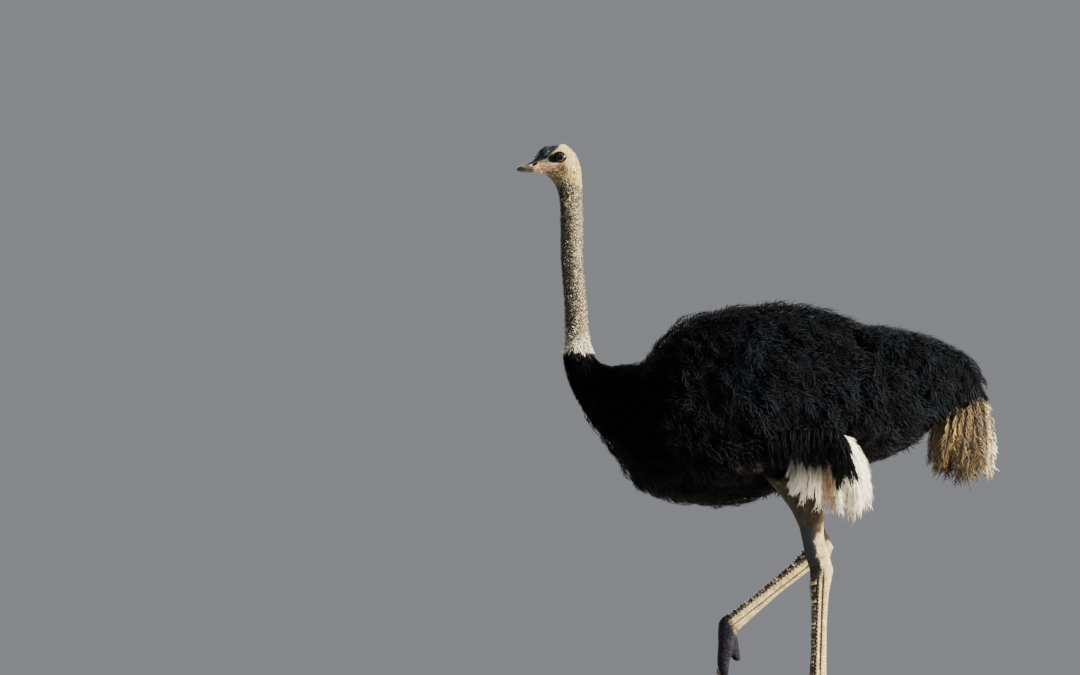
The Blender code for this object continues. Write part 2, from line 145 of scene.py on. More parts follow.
stations = np.concatenate([
    np.linspace(0, HEAD_END, 140, endpoint=False),
    np.linspace(HEAD_END, NECK_END, 52, endpoint=False),
    np.linspace(NECK_END, len(PLANES) - 1, 76),
])
planes = np.array([curve_at(PLANES, t) for t in stations])
print(len(stations), "rings of", AROUND)

# %% Rays on to the solids
FLESH_NODES = ("head", "neck_upper", "neck_middle", "neck_base", "trunk", "left_wing", "right_wing")
SIDES = (("left", -1), ("right", 1))


def surface_of(*meshes):
    """A search tree over the faces of some meshes."""
    points, faces = [], []
    for mesh in meshes:
        start = len(points)
        points += [v.co.copy() for v in mesh.vertices]
        faces += [[start + i for i in face.vertices] for face in mesh.polygons]
    return BVHTree.FromPolygons(points, faces)


def rings_on(target, planes, around):
    """Centres, directions and distances of rays that land on the target from outside."""
    centres, spokes, reach = [], [], []
    turns = np.linspace(0, 2 * math.pi, around, endpoint=False)
    for x0, z0, x1, z1, half, _ in planes:
        centre = Vector(((x0 + x1) / 2, 0, (z0 + z1) / 2))
        up = Vector((x0 - x1, 0, z0 - z1))
        tall = up.length / 2
        up.normalize()
        room = min(max(0.3 * tall, 0.02), 0.08)
        for turn in turns:
            spoke = up * math.cos(turn) + Vector((0, math.sin(turn), 0))
            far = room + tall * abs(math.cos(turn)) + half * abs(math.sin(turn))
            hit = target.ray_cast(centre + spoke * far, -spoke, far)[0]
            reach.append((hit - centre).length if hit else float("nan"))
            spokes.append(tuple(spoke))
            centres.append(tuple(centre))
    shape = (len(planes), around)
    return (np.array(centres).reshape(*shape, 3), np.array(spokes).reshape(*shape, 3),
            np.array(reach).reshape(shape))


def filled(reach):
    """Gaps and cracks taken from their neighbours."""
    for _ in range(60):
        holes = np.isnan(reach)
        if not holes.any():
            break
        near = np.stack([np.roll(reach, 1, 1), np.roll(reach, -1, 1), reach[[0, *range(len(reach) - 1)]],
                         reach[[*range(1, len(reach)), len(reach) - 1]]])
        with np.errstate(all="ignore"):
            mean = np.nanmean(near, axis=0)
        reach = np.where(holes, mean, reach)
    return reach


def blurred(field, along, across):
    """The field smoothed by `along` cells between the rings and `across` cells round them."""
    for axis, width, mode in ((0, along, "edge"), (1, across, "wrap")):
        span = int(math.ceil(width * 2.5))
        weights = np.exp(-0.5 * (np.arange(-span, span + 1) / width) ** 2)
        weights /= weights.sum()
        wide = np.pad(field, [(span, span) if k == axis else (0, 0) for k in (0, 1)], mode=mode)
        size = field.shape[axis]
        field = sum(w * np.take(wide, range(k, k + size), axis) for k, w in enumerate(weights))
    return field


envelope = surface_of(*(NODES[name].data for name in ("bill_upper", "bill_lower", *FLESH_NODES,
                                                      "left_eye", "right_eye")))
centres, spokes, reach = rings_on(envelope, planes, AROUND)
print("rays that missed:", int(np.isnan(reach).sum()))
reach = filled(reach)

# %% [markdown]
# The solids are faceted, and there are hair-thin gaps between them. So the landings are first evened out:
# a landing far inside its neighbours fell down a crack, and the rest are smoothed more on the trunk, whose
# skin hardly shows, than on the face. The balls of the eyes stand proud of the head; the skin is pressed
# back to the head's own width there.

# %% Even out the landings
HEAD_HALF = 0.0352  # half width of the head at the eyes
CRACK, CRACK_SHARE = 0.0015, 0.02  # a landing this far inside its neighbours fell down a crack
for _ in range(2):
    around_it = np.stack([np.roll(reach, k, 1) for k in (-2, -1, 1, 2)])
    middle = np.median(around_it, axis=0)
    reach = np.where(reach < middle - CRACK - CRACK_SHARE * middle, middle, reach)
rough = centres + spokes * reach[..., None]
on_ball = np.hypot(rough[..., 0] - EYE.x, rough[..., 2] - EYE.z) < EYE_RADIUS + 0.003
limit = np.where(on_ball, HEAD_HALF / np.maximum(np.abs(spokes[..., 1]), 1e-3), 9.0)
reach = np.minimum(reach, limit)

head_share = np.clip((stations - (HEAD_END - 1.5)) / 3, 0, 1)[:, None]
trunk_share = np.clip((stations - NECK_END) / 4, 0, 1)[:, None]
fine, neck_like, coarse = blurred(reach, 6.0, 5.0), blurred(reach, 3.0, 6.0), blurred(reach, 2.2, 3.0)
reach = fine * (1 - head_share) + neck_like * head_share
reach = reach * (1 - trunk_share) + coarse * trunk_share
# The solids are widest at the wings, where the plumes also stand out most, so the skin lies deepest there.
on_side = np.abs(spokes[..., 1]) ** 2
depth = planes[:, 5][:, None] * (1 + trunk_share * (0.38 * on_side - 0.42 * (1 - on_side)))
body = centres + spokes * np.maximum(reach - depth, 0.002)[..., None]
print("the skin lies up to", round(float(depth.max()), 4), "inside the solids")

# %% [markdown]
# ## The face
#
# The rings are about a millimetre and a half apart on the head, so its folds can be pressed into them
# like thumbs into clay: every fold is a sum of soft bumps, each given by its distance from a named line.
# The opening between the lids is an almond with its long corner towards the bill. Inside it the skin sinks
# behind the ball of the eye; just outside it the lids swell, with a crease and a brow over them.

# %% The almond between the lids
CORNER = Vector((-0.759, 0, 1.833)) - EYE  # the long front corner, from the middle of the eye
LID_GAP = 0.0178  # from the middle of the eye to the lids, away from the corners


def turn_gap(a, b):
    return np.abs((a - b + math.pi) % (2 * math.pi) - math.pi)


def bump(distance, width):
    return np.exp(-(distance / width) ** 2)


def step(value, start, end):
    """0 before start, 1 after end, and smooth between."""
    t = np.clip((value - start) / (end - start), 0, 1)
    return t * t * (3 - 2 * t)


def almond(turn):
    """Distance from the middle of the eye to the edge of the lids, in the direction `turn`."""
    front = math.atan2(CORNER.z, CORNER.x)
    long_corner = (CORNER.xz.length - LID_GAP) * bump(turn_gap(turn, front), 0.58)
    return LID_GAP + long_corner + 0.0038 * bump(turn_gap(turn, 0.0), 0.6)


def ball_at(gap):
    """How far the eyeball's surface is from the midline, `gap` from its middle."""
    return EYE_OUT + EYE_DEPTH * np.sqrt(np.maximum(1 - (gap / EYE_RADIUS) ** 2, 0))


def line_gap(x, z, line):
    """Distance in the side view to a line of (x, z) points."""
    found = np.full(x.shape, 9.0)
    for (x0, z0), (x1, z1) in zip(line, line[1:]):
        along = ((x - x0) * (x1 - x0) + (z - z0) * (z1 - z0)) / ((x1 - x0) ** 2 + (z1 - z0) ** 2)
        along = np.clip(along, 0, 1)
        found = np.minimum(found, np.hypot(x - x0 - along * (x1 - x0), z - z0 - along * (z1 - z0)))
    return found


# %% Fold the skin of the head
MOUTH_LINE = [(-0.804, MOUTH - 0.0005), (-0.785, MOUTH - 0.0012), (-0.765, MOUTH + 0.0002),
              (-0.745, MOUTH + 0.0032), (GAPE.x, GAPE.z)]
CHEEK_LINE = [(GAPE.x + 0.002, GAPE.z - 0.003), (-0.712, 1.799), (-0.7, 1.79), (-0.696, 1.78)]
LORES_LINE = [(-0.79, 1.83), (-0.762, 1.833)]  # from the bill to the eye

x, y, z = body[..., 0], body[..., 1], body[..., 2]
half = np.abs(y)
flank = step(half, 0.006, 0.016)  # only the sides of the head carry these folds
gap = np.hypot(x - EYE.x, z - EYE.z)
turn = np.arctan2(z - EYE.z, x - EYE.x)
past_lid = gap - almond(turn)
on_head = (stations < HEAD_END)[:, None] & (half > 0.012)
near_edge = on_head & (np.abs(past_lid) < 0.0009)
snap = np.where(near_edge, almond(turn) / np.maximum(gap, 1e-6), 1.0)
x = EYE.x + (x - EYE.x) * snap
z = EYE.z + (z - EYE.z) * snap
gap = gap * snap
past_lid = np.where(near_edge, 0.0, past_lid)

upper = step(z, EYE.z - 0.004, EYE.z + 0.01)
swell = 0.0013 * bump(past_lid - 0.0016, 0.0017)
swell -= 0.0011 * bump(past_lid - 0.0048, 0.0012)
swell += upper * (0.0022 * bump(past_lid - 0.009, 0.0035) - 0.0008 * bump(past_lid - 0.0135, 0.0016))
swell += (1 - upper) * (0.0009 * bump(past_lid - 0.0072, 0.0018) - 0.0009 * bump(past_lid - 0.01, 0.0012))
swell = np.where(on_head, swell, 0)
mouth_gap = line_gap(x, z, MOUTH_LINE)
lips = -0.0024 * bump(mouth_gap, 0.0012) + 0.0008 * bump(mouth_gap - 0.003, 0.0013)
in_gape = step(-x, -GAPE.x - 0.002, -GAPE.x + 0.006) * step(mouth_gap, 0.003, 0.005)
in_gape *= 1 - step(mouth_gap, 0.013, 0.019)
wrinkles = 0.00055 * np.sin(mouth_gap * 2050 + 1.4 * np.sin(x * 210) + 0.8 * np.sin(x * 530))
lores = -0.0016 * bump(line_gap(x, z, LORES_LINE), 0.0055)
cheek = -0.0012 * bump(line_gap(x, z, CHEEK_LINE), 0.0022)
ear_gap = np.hypot((x - EAR.x) / 0.8, z - EAR.z)
ear = -0.0042 * bump(ear_gap, 0.003) + 0.0012 * bump(ear_gap - 0.0062, 0.0022)
jaw = 0.0007 * np.sin((z - MOUTH) * 620 + x * 420)
jaw *= step(MOUTH - z, 0.004, 0.012) * step(-x, 0.7, 0.73)
folds = lips + in_gape * wrinkles + lores + cheek + ear + jaw
swell += flank * np.where(stations[:, None] < HEAD_END, folds, 0)
half = half + swell * step(half, 0.004, 0.012)
over_ball = on_head & (past_lid >= 0) & (gap < EYE_RADIUS)
half = np.maximum(half, np.where(over_ball, ball_at(gap) + 0.0007, 0))
behind_lid = half - 0.0026 * step(-past_lid, 0, 0.003)
sunk = np.where(gap < EYE_RADIUS - 0.0015, ball_at(gap) - 0.0016, behind_lid)
half = np.where(on_head & (past_lid < 0), np.minimum(half, sunk), half)
body = np.stack([x, np.sign(y) * half, z], -1)
print("lids opened over", int((on_head & (past_lid < 0)).sum()), "points of the skin")

# %% [markdown]
# ### A guide for the feathers
#
# The rings also tell where a feather would lie. Along them runs the way from bill to tail, and across that
# the pull of gravity: plumes on the flanks hang more than plumes on the back. Those directions are kept on
# the mesh as attributes, so that the Geometry Nodes further down can read them. The unwrap, which is just
# ring against turn, gives every feather a place of its own in a flat map.

# %% Meshes, and what is kept on them


def mesh_from(name, points, faces, turn_out=False):
    """A smooth mesh. With `turn_out`, its faces are turned to point outwards."""
    mesh = bpy.data.meshes.new(name)
    mesh.from_pydata([tuple(p) for p in points], [], faces)
    if turn_out:
        bm = bmesh.new()
        bm.from_mesh(mesh)
        bmesh.ops.recalc_face_normals(bm, faces=bm.faces)
        bm.to_mesh(mesh)
        bm.free()
    mesh.shade_smooth()
    return mesh


def placed(name, mesh, finish=None):
    """A new object in the scene, with its finish if it has one."""
    made = bpy.data.objects.new(name, mesh)
    bpy.context.scene.collection.objects.link(made)
    if finish:
        mesh.materials.append(finish.material)
    return made


def numbers(items, key, width=3):
    """One value of every point or face of a mesh, as an array."""
    found = np.empty(len(items) * width, np.float32)
    items.foreach_get(key, found)
    return np.squeeze(found.reshape(-1, width).astype(float))


def keep(mesh, name, values, kind="FLOAT"):
    """A named value for every point of a mesh."""
    made = mesh.attributes.new(name, kind, "POINT")
    key = "vector" if kind == "FLOAT_VECTOR" else "value"
    made.data.foreach_set(key, np.ascontiguousarray(values, dtype=np.float32).ravel())


def keep_map(mesh, name, flat):
    """A UV map, from the flat place of every corner."""
    mesh.uv_layers.new(name=name).data.foreach_set("uv", flat.astype(np.float32).ravel())


# %% A mesh from rings


def mesh_of_rings(name, rings, closed=True):
    """A mesh through rings of points, closed at its ends, or open and with its unwrap."""
    count, around = rings.shape[:2]
    points = rings.reshape(-1, 3)
    i, j = np.meshgrid(np.arange(count - 1), np.arange(around), indexing="ij")
    k = (j + 1) % around
    faces = np.stack([i * around + j, i * around + k, (i + 1) * around + k, (i + 1) * around + j], -1)
    faces = faces.reshape(-1, 4).tolist()
    if not closed:
        mesh = mesh_from(name, points, faces)
        along = np.stack([i, i, i + 1, i + 1], -1) / (count - 1)
        across = np.stack([j, j + 1, j + 1, j], -1) / around
        keep_map(mesh, "unwrap", 0.02 + 0.96 * np.stack([along, across], -1))
        return mesh
    first, last, foot = len(points), len(points) + 1, (count - 1) * around
    points = np.vstack([points, rings[0].mean(0), rings[-1].mean(0)])
    faces += [[first, (j + 1) % around, j] for j in range(around)]
    faces += [[last, foot + j, foot + (j + 1) % around] for j in range(around)]
    mesh = mesh_from(name, points, faces)
    bm = bmesh.new()
    bm.from_mesh(mesh)
    if bm.calc_volume(signed=True) < 0:
        bmesh.ops.reverse_faces(bm, faces=bm.faces)
        bm.to_mesh(mesh)
    bm.free()
    return mesh


# %% Which way the feathers lie


def unit(vectors):
    return vectors / np.maximum(np.linalg.norm(vectors, axis=-1, keepdims=True), 1e-9)


back = unit(np.gradient(body, axis=0))  # from bill to tail
round_it = unit(np.roll(body, -1, 1) - np.roll(body, 1, 1))
out = unit(np.cross(round_it, back))
out *= np.sign((out * spokes).sum(-1, keepdims=True))

fall = np.array([0.0, 0.0, -1.0]) + out * out[..., 2:3]
hang = np.interp(stations, [NECK_END, NECK_END + 4, 20, 26, 27.5, 29], [0.0, 0.35, 0.95, 1.2, 2.6, 4.0])
# Plumes are never combed straight: broad soft noise turns them aside and makes them stand up in clumps.
chances = np.random.default_rng(12)
drifts = [blurred(chances.normal(size=body.shape[:2]), 1.5, 3.0) for _ in range(3)]
on_body = step(stations, NECK_END + 2, NECK_END + 5)[:, None]
turn_aside, stand_up, grow = (d / d.std() * on_body for d in drifts)
# The forehead's hairs stand up like a brush.
bristly = (1 - step(stations, 1.6, 3.2))[:, None] * step(out[..., 2], 0.1, 0.6)
rise = 0.16 * np.maximum(stand_up, -0.3) + 1.1 * bristly
lie = back + fall * hang[:, None, None] + round_it * 0.3 * turn_aside[..., None] + out * rise[..., None]
lie = unit(lie)
print("feathers on the flank lie along", [round(c, 2) for c in lie[200, AROUND // 4]])
guide_mesh = mesh_of_rings("plumage_guide", body, closed=False)
keep(guide_mesh, "lie", lie, "FLOAT_VECTOR")
keep(guide_mesh, "out", out, "FLOAT_VECTOR")

# %% [markdown]
# ## Legs under the same skin
#
# A leg is drumstick, shank and two toes, four solids that meet at bent joints. A voxel remesh melts copies
# of them into one closed surface, and a little smoothing rounds the facets, as skin rounds bones and
# tendons. A Boolean union then joins both legs to the body, so that one skin covers the whole bird.

# %% Melt each leg into one surface
LEG_PARTS = ("drumstick", "tarsus", "inner_toe", "outer_toe")
LEG_VOXEL = 0.0036


def merged_copy(name, *nodes):
    """A copy of some nodes as one object, with the loose triangles' doubled points merged."""
    bm = bmesh.new()
    for node_name in nodes:
        bm.from_mesh(NODES[node_name].data)
    bmesh.ops.remove_doubles(bm, verts=bm.verts, dist=0.00002)
    mesh = bpy.data.meshes.new(name)
    bm.to_mesh(mesh)
    bm.free()
    return placed(name, mesh)


def modify(made, kind, **settings):
    """Adds a modifier and sets it."""
    change = made.modifiers.new(kind.lower(), kind)
    for key, value in settings.items():
        setattr(change, key, value)
    return change


def settled(made):
    """The object with its modifiers applied to its mesh, and the modifiers gone."""
    bpy.context.view_layer.update()
    graph = bpy.context.evaluated_depsgraph_get()
    mesh = bpy.data.meshes.new_from_object(made.evaluated_get(graph), depsgraph=graph)
    old = made.data
    made.modifiers.clear()
    made.data = mesh
    bpy.data.meshes.remove(old)
    mesh.name = made.name
    return made


def melted_leg(side):
    leg = merged_copy(f"{side}_leg_skin", *(f"{side}_{part}" for part in LEG_PARTS))
    modify(leg, "DISPLACE", strength=0.0005, mid_level=0)  # closes the gaps between the solids
    modify(leg, "REMESH", mode="VOXEL", voxel_size=LEG_VOXEL)
    modify(leg, "SMOOTH", factor=0.6, iterations=16)
    modify(leg, "DECIMATE", ratio=0.5)
    print(side, "leg has", len(settled(leg).data.polygons), "faces")
    return leg


legs = {side: melted_leg(side) for side, _ in SIDES}

# %% [markdown]
# ### Bones to measure by
#
# Scales, grooves and colours on a leg are placed along its bones. The solids know where those are: the
# long axis of a shank's points runs from hock to foot.

# %% The axes of the shanks


def long_axis(name):
    """The ends of a long solid's middle line, the upper end first."""
    points = numbers(NODES[name].data.vertices, "co")
    middle = (points.max(0) + points.min(0)) / 2
    axis = np.linalg.svd(points - points.mean(0), full_matrices=False)[2][0]
    if axis[2] > 0:
        axis = -axis
    along = (points - middle) @ axis
    low, high = along.min(), along.max()
    end_part = 0.16 * (high - low)
    ends = []
    for at, inside in ((low, along < low + end_part), (high, along > high - end_part)):
        near = points[inside]
        centre = (near.max(0) + near.min(0)) / 2
        ends.append(Vector(centre + axis * (at - (centre - middle) @ axis)))
    return ends


def shank_frame(side):
    """Upper end, the ways down, ahead and across, and length of a shank."""
    top, foot = long_axis(f"{side}_tarsus")
    down = (foot - top).normalized()
    ahead = Vector((-1, 0, 0))
    ahead = (ahead - down * ahead.dot(down)).normalized()
    return top, down, ahead, down.cross(ahead), (foot - top).length


SHANKS = {side: shank_frame(side) for side, _ in SIDES}
for side, (top, down, *_, length) in SHANKS.items():
    print(side, "shank from", [round(c, 3) for c in top], "along", [round(c, 3) for c in down], "for", length)

# %% [markdown]
# A shank is not a plain rod. Behind the bone runs a thick tendon, and between them lies a groove on either
# side. The foot's sole is padded. Both are pressed into the melted legs before the union.

# %% Grooves and pads


def sculpt_leg(side, mesh):
    place, normal = numbers(mesh.vertices, "co"), numbers(mesh.vertices, "normal")
    top, down, ahead, across, length = SHANKS[side]
    from_top = place - np.array(top)
    along, forward, sideways = (from_top @ np.array(way) for way in (down, ahead, across))
    on_shank = step(along, 0.01, 0.06) * (1 - step(along, length - 0.1, length - 0.03))
    groove = bump(forward + 0.004, 0.0042) * step(np.abs(sideways), 0.008, 0.014)
    tendon = bump(forward + 0.02, 0.008)
    hollow = bump(forward - 0.013, 0.006) * step(np.abs(sideways), 0.006, 0.012)
    press = on_shank * (-0.0048 * groove + 0.0012 * tendon - 0.0008 * hollow)
    knob = (1 - on_shank) * step(along, -0.05, -0.01) * (1 - step(along, 0.05, 0.09))
    press += 0.0015 * knob * np.sin(forward * 190) * np.cos(along * 120)
    if side == "left":
        toe_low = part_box("left_inner_toe")[0]
        sole = 1 - step(place[:, 2], toe_low.z + 0.002, toe_low.z + 0.02)
        pads = np.sin((place[:, 0] - toe_low.x) * 120)
        press += 0.0016 * pads * sole * step(place[:, 2] - toe_low.z, 0.001, 0.006)
    place += normal * press[:, None]
    mesh.vertices.foreach_set("co", place.ravel())
    mesh.update()


for side, leg in legs.items():
    sculpt_leg(side, leg.data)

# %% [markdown]
# The union cuts the body and the legs along a sharp line. Skin has no such line, so the points near it are
# let settle between their neighbours a few times.

# %% One skin for the whole bird
skin = placed("skin", mesh_of_rings("skin", body))
for leg in legs.values():
    modify(skin, "BOOLEAN", operation="UNION", solver="EXACT", object=leg)
settled(skin)
print("skin after the union:", len(skin.data.vertices), "points")

JOINT_REACH, JOINT_PASSES = 0.022, 14
plain_body = mesh_of_rings("plain_body", body)
body_tree = surface_of(plain_body)
leg_trees = {side: surface_of(leg.data) for side, leg in legs.items()}
bm = bmesh.new()
bm.from_mesh(skin.data)
for side, tree in leg_trees.items():
    near = [v for v in bm.verts
            if all(shape.find_nearest(v.co, JOINT_REACH)[0] is not None for shape in (body_tree, tree))]
    for _ in range(JOINT_PASSES):
        bmesh.ops.smooth_vert(bm, verts=near, factor=0.5, use_axis_x=True, use_axis_y=True, use_axis_z=True)
    print("settled", len(near), "points round the", side, "leg")
bm.to_mesh(skin.data)
bm.free()
for leg in legs.values():
    bpy.data.objects.remove(leg)
bpy.data.meshes.remove(plain_body)
skin.data.shade_smooth()

# %% [markdown]
# ## Tools for nodes
#
# Materials and Geometry Nodes are built from the same small kit. A `Wire` is the output of a node, and it
# can stand in an ordinary sum: writing `1 - mask` adds the Math node that does it. Every other node comes
# from `node`, which sets the node's own settings first and then its sockets.

# %% Wires and nodes


class Wire:
    """An output socket that can stand in a sum."""

    def __init__(self, socket):
        self.socket = socket

    def maths(self, operation, *values):
        return Wire(node(self.socket.id_data, "ShaderNodeMath", {"operation": operation},
                         dict(enumerate(values))).outputs[0])

    def __add__(self, other):
        return self.maths("ADD", self, other)

    def __sub__(self, other):
        return self.maths("SUBTRACT", self, other)

    def __rsub__(self, other):
        return self.maths("SUBTRACT", other, self)

    def __mul__(self, other):
        return self.maths("MULTIPLY", self, other)

    def __truediv__(self, other):
        return self.maths("DIVIDE", self, other)

    __radd__, __rmul__ = __add__, __mul__

    def most(self, other):
        return self.maths("MAXIMUM", self, other)

    def rise(self, start, end):
        """0 before start, 1 after end, and smooth between."""
        return Wire(node(self.socket.id_data, "ShaderNodeMapRange", {"interpolation_type": "SMOOTHSTEP"},
                         {"Value": self, "From Min": start, "From Max": end}).outputs[0])

    def fall(self, start, end):
        return 1 - self.rise(start, end)


def node(tree, kind, settings=None, inputs=None):
    """A new node. Its settings come first, then the values, wires or nodes of its sockets."""
    made = tree.nodes.new(kind)
    for key, value in (settings or {}).items():
        if key != "stops":
            setattr(made, key, value)
            continue
        for number, (at, colour) in enumerate(value):
            stops = made.color_ramp.elements
            stop = stops[number] if number < 2 else stops.new(at)
            stop.position = at
            stop.color = (*colour, 1)
    for key, value in (inputs or {}).items():
        if isinstance(value, bpy.types.Node):
            value = Wire(value.outputs[0])
        if isinstance(value, Wire):
            tree.links.new(value.socket, made.inputs[key])
        else:
            made.inputs[key].default_value = value
    return made


class Finish:
    """A material under construction: a Principled shader and the patterns that feed it."""

    def __init__(self, name, place=None, **constants):
        self.material = bpy.data.materials.new(name)
        self.material.use_nodes = True
        self.tree = self.material.node_tree
        self.tree.nodes.clear()
        self.shader = self.add("ShaderNodeBsdfPrincipled")
        for key, value in constants.items():
            self.shader.inputs[key.replace("_", " ")].default_value = value
        self.add("ShaderNodeOutputMaterial", None, {0: self.shader})
        self.place = self.attribute(place, "Vector") if place else self.own_place()
        self.x, self.y, self.z = self.split(self.place)

    def add(self, kind, settings=None, inputs=None):
        return node(self.tree, kind, settings, inputs)

    def attribute(self, name, end="Fac"):
        """A number or a place kept on the mesh."""
        return Wire(self.add("ShaderNodeAttribute", {"attribute_name": name}).outputs[end])

    def own_place(self):
        return Wire(self.add("ShaderNodeTexCoord").outputs["Object"])

    def split(self, place):
        return [Wire(end) for end in self.add("ShaderNodeSeparateXYZ", None, {0: place}).outputs]

    def speckle(self, scale, detail=3.0, roughness=0.55, stretch=None, where=None):
        """Noise from 0 to 1, about 0.5, that can be stretched along an axis."""
        where = where or self.place
        if stretch:
            where = self.add("ShaderNodeMapping", None, {"Vector": where, "Scale": stretch})
        return Wire(self.add("ShaderNodeTexNoise", None, {
            "Vector": where, "Scale": scale, "Detail": detail, "Roughness": roughness}).outputs[0])

    def cells(self, scale, feature="F1"):
        return Wire(self.add("ShaderNodeTexVoronoi", {"feature": feature},
                             {"Vector": self.place, "Scale": scale}).outputs["Distance"])

    def ragged(self, scale, amount):
        """A little noise about 0, that makes an edge uneven."""
        return (self.speckle(scale, 2.0) - 0.5) * amount

    def ramp(self, value, *stops):
        return Wire(self.add("ShaderNodeValToRGB", {"stops": stops}, {0: value}).outputs[0])

    def lay(self, colour, *layers):
        """A colour with others laid over it, each where its mask says."""
        for over, mask in layers:
            colour, over = ((*c, 1) if isinstance(c, tuple) else c for c in (colour, over))
            colour = Wire(self.add("ShaderNodeMix", {"data_type": "RGBA"},
                                   {0: mask, 6: colour, 7: over}).outputs[2])
        return colour

    def near(self, x, z, wide, tall, edge):
        """A soft oval in the side view: 1 inside, 0 outside."""
        across, up = (self.x - x) / wide, (self.z - z) / tall
        reach = across * across + up * up
        return reach.maths("SQRT", reach).fall(1 - edge, 1 + edge)

    def paint(self, colour):
        self.tree.links.new(colour.socket, self.shader.inputs["Base Color"])

    def relief(self, height, distance, strength=1.0):
        bumped = self.add("ShaderNodeBump", None, {
            "Height": height, "Distance": distance, "Strength": strength})
        self.tree.links.new(bumped.outputs[0], self.shader.inputs["Normal"])


# %% [markdown]
# ## Markings
#
# Skin and plumage must agree: where the coat turns from grey down to black plumes, the skin under it turns
# too. So each marking is written once, as a mask of a place on the bird. On the skin the place is the
# point itself; on a feather it is the feather's root, which Geometry Nodes keep on it as `root_place`.

# %% Masks of the markings
COLLAR = 1.206  # height of the pale collar round the foot of the neck


def below_collar(finish):
    """1 on the black body, 0 on the pale neck. The edge slopes with the foot of the neck."""
    edge = finish.z - COLLAR + finish.ragged(70.0, 0.022) + (finish.x + 0.66) * 0.1
    return 1 - edge.rise(-0.006, 0.006) * finish.x.fall(-0.6, -0.57)


def forehead(finish):
    """The bare slate-blue shield in front of the crown."""
    reach = finish.x + 0.769
    slope = finish.z - 1.835 - (reach * 0.4).most(reach * 0.92) + finish.ragged(160.0, 0.006)
    rear = finish.x - (finish.z - 1.8824) * 0.64 + finish.ragged(110.0, 0.022)
    return slope.rise(-0.002, 0.002) * rear.fall(-0.7255, -0.719)


def gape_pink(finish):
    """Soft pink skin between the horn and the corner of the mouth. It runs down a little by the horn."""
    long = (finish.x + finish.ragged(220.0, 0.006)).rise(-0.807, -0.8) * finish.x.fall(-0.73, -0.722)
    low = finish.z + finish.x.fall(-0.786, -0.764) * 0.0075 + finish.ragged(300.0, 0.003)
    top = finish.z - 1.8215 - (finish.x + 0.78) * 0.05
    return long * low.rise(MOUTH - 0.006, MOUTH - 0.003) * top.fall(-0.003, 0.001)


def neck_dots(finish):
    """Pale dots of down over the dark neck, more along its middle and fewer towards its front, whose darkness
    is partly the neck's own colour and partly painted shade.
    """
    # Fewer dots on the front: partly the neck's own pattern, partly painted shade.
    front = (finish.x + (finish.z - 1.2) * 0.066 + finish.ragged(90.0, 0.02)).fall(-0.69, -0.64)
    middle = finish.z.rise(1.23, 1.32) * finish.z.fall(1.74, 1.8)
    return (finish.speckle(300.0, 1.0) - front * 0.08 - middle * 0.065).rise(0.47, 0.54)


# %% [markdown]
# ### The skin's own finish
#
# Most of the skin hides under plumes. What shows is the face, the stippled neck between its down, and the
# bare legs. Three materials share the mesh, and their borders lie under the coat: face and neck, the dark
# body, and the legs with their net of small scales.

# %% Face and neck skin
NEAR_BLACK = (0.01, 0.008, 0.008)


def face_colours(finish):
    """Base colour of the face, for the skin and for the horn that meets it."""
    flesh = finish.ramp(finish.speckle(90.0, 4.0), (0.3, (0.24, 0.165, 0.07)),
                        (0.52, (0.44, 0.33, 0.155)), (0.75, (0.66, 0.55, 0.31)))
    throat = (finish.z + (finish.x + 0.7) * 0.3 + finish.ragged(120.0, 0.02)).fall(1.756, 1.772)
    pink = finish.ramp(finish.speckle(260.0, 3.0, stretch=(0.25, 0.6, 1.0)), (0.36, (0.32, 0.125, 0.075)),
                       (0.46, (0.62, 0.31, 0.21)), (0.56, (0.76, 0.47, 0.34)), (0.66, (0.92, 0.76, 0.56)))
    blue = finish.ramp(finish.speckle(150.0, 4.0), (0.3, (0.008, 0.01, 0.016)),
                       (0.52, (0.022, 0.032, 0.05)), (0.74, (0.085, 0.125, 0.145)))
    stipple = finish.speckle(420.0, 2.0).rise(0.46, 0.56)
    return finish.lay(
        flesh,
        ((0.13, 0.115, 0.095), throat * 0.75),
        (pink, gape_pink(finish)),
        ((0.8, 0.72, 0.55), finish.near(-0.75, 1.819, 0.026, 0.0042, 0.6) * 0.8),  # over the gape
        (blue, forehead(finish)),
        ((0.007, 0.005, 0.003), finish.near(-0.736, 1.785, 0.04, 0.0165, 0.7) * stipple * 0.92),  # jaw
        ((0.022, 0.015, 0.007), finish.near(-0.718, 1.806, 0.02, 0.016, 0.6) * (0.55 + stipple * 0.4)),
        ((0.02, 0.021, 0.026), finish.near(-0.76, 1.8385, 0.012, 0.006, 0.6) * 0.9),  # lores
        ((0.84, 0.74, 0.5), finish.near(-0.769, 1.8293, 0.0056, 0.0036, 0.85) * 0.9),
        ((0.035, 0.025, 0.02), finish.near(EAR.x, EAR.z, 0.0042, 0.0048, 0.5)))


face = Finish("face_and_neck_skin", Roughness=0.62, Specular_IOR_Level=0.2, Subsurface_Weight=0.05,
              Subsurface_Scale=0.004)
neck_grey = face.ramp(face.speckle(120.0, 4.0), (0.35, (0.01, 0.009, 0.009)),
                      (0.6, (0.028, 0.026, 0.024)), (0.78, (0.07, 0.064, 0.054)))
past_throat = face.x + 0.7
on_neck = (face.z + (past_throat * 0.6).most(past_throat * -0.9)).fall(1.745, 1.8)
face.paint(face.lay(
    face_colours(face),
    (face.lay(neck_grey, ((0.5, 0.44, 0.29), neck_dots(face) * 0.85)), on_neck),
    ((0.012, 0.012, 0.014), below_collar(face)),
    ((0.006, 0.006, 0.007), face.near(EYE.x, EYE.z, 0.0208, 0.0192, 0.1) * 0.95),  # lids
    ((0.005, 0.005, 0.006), face.near(-0.7435, EYE.z - 0.0036, 0.0165, 0.0128, 0.22))))
face.relief(face.speckle(700.0, 3.0) * 0.6 + face.cells(420.0) * 0.4, 0.0009, 0.8)

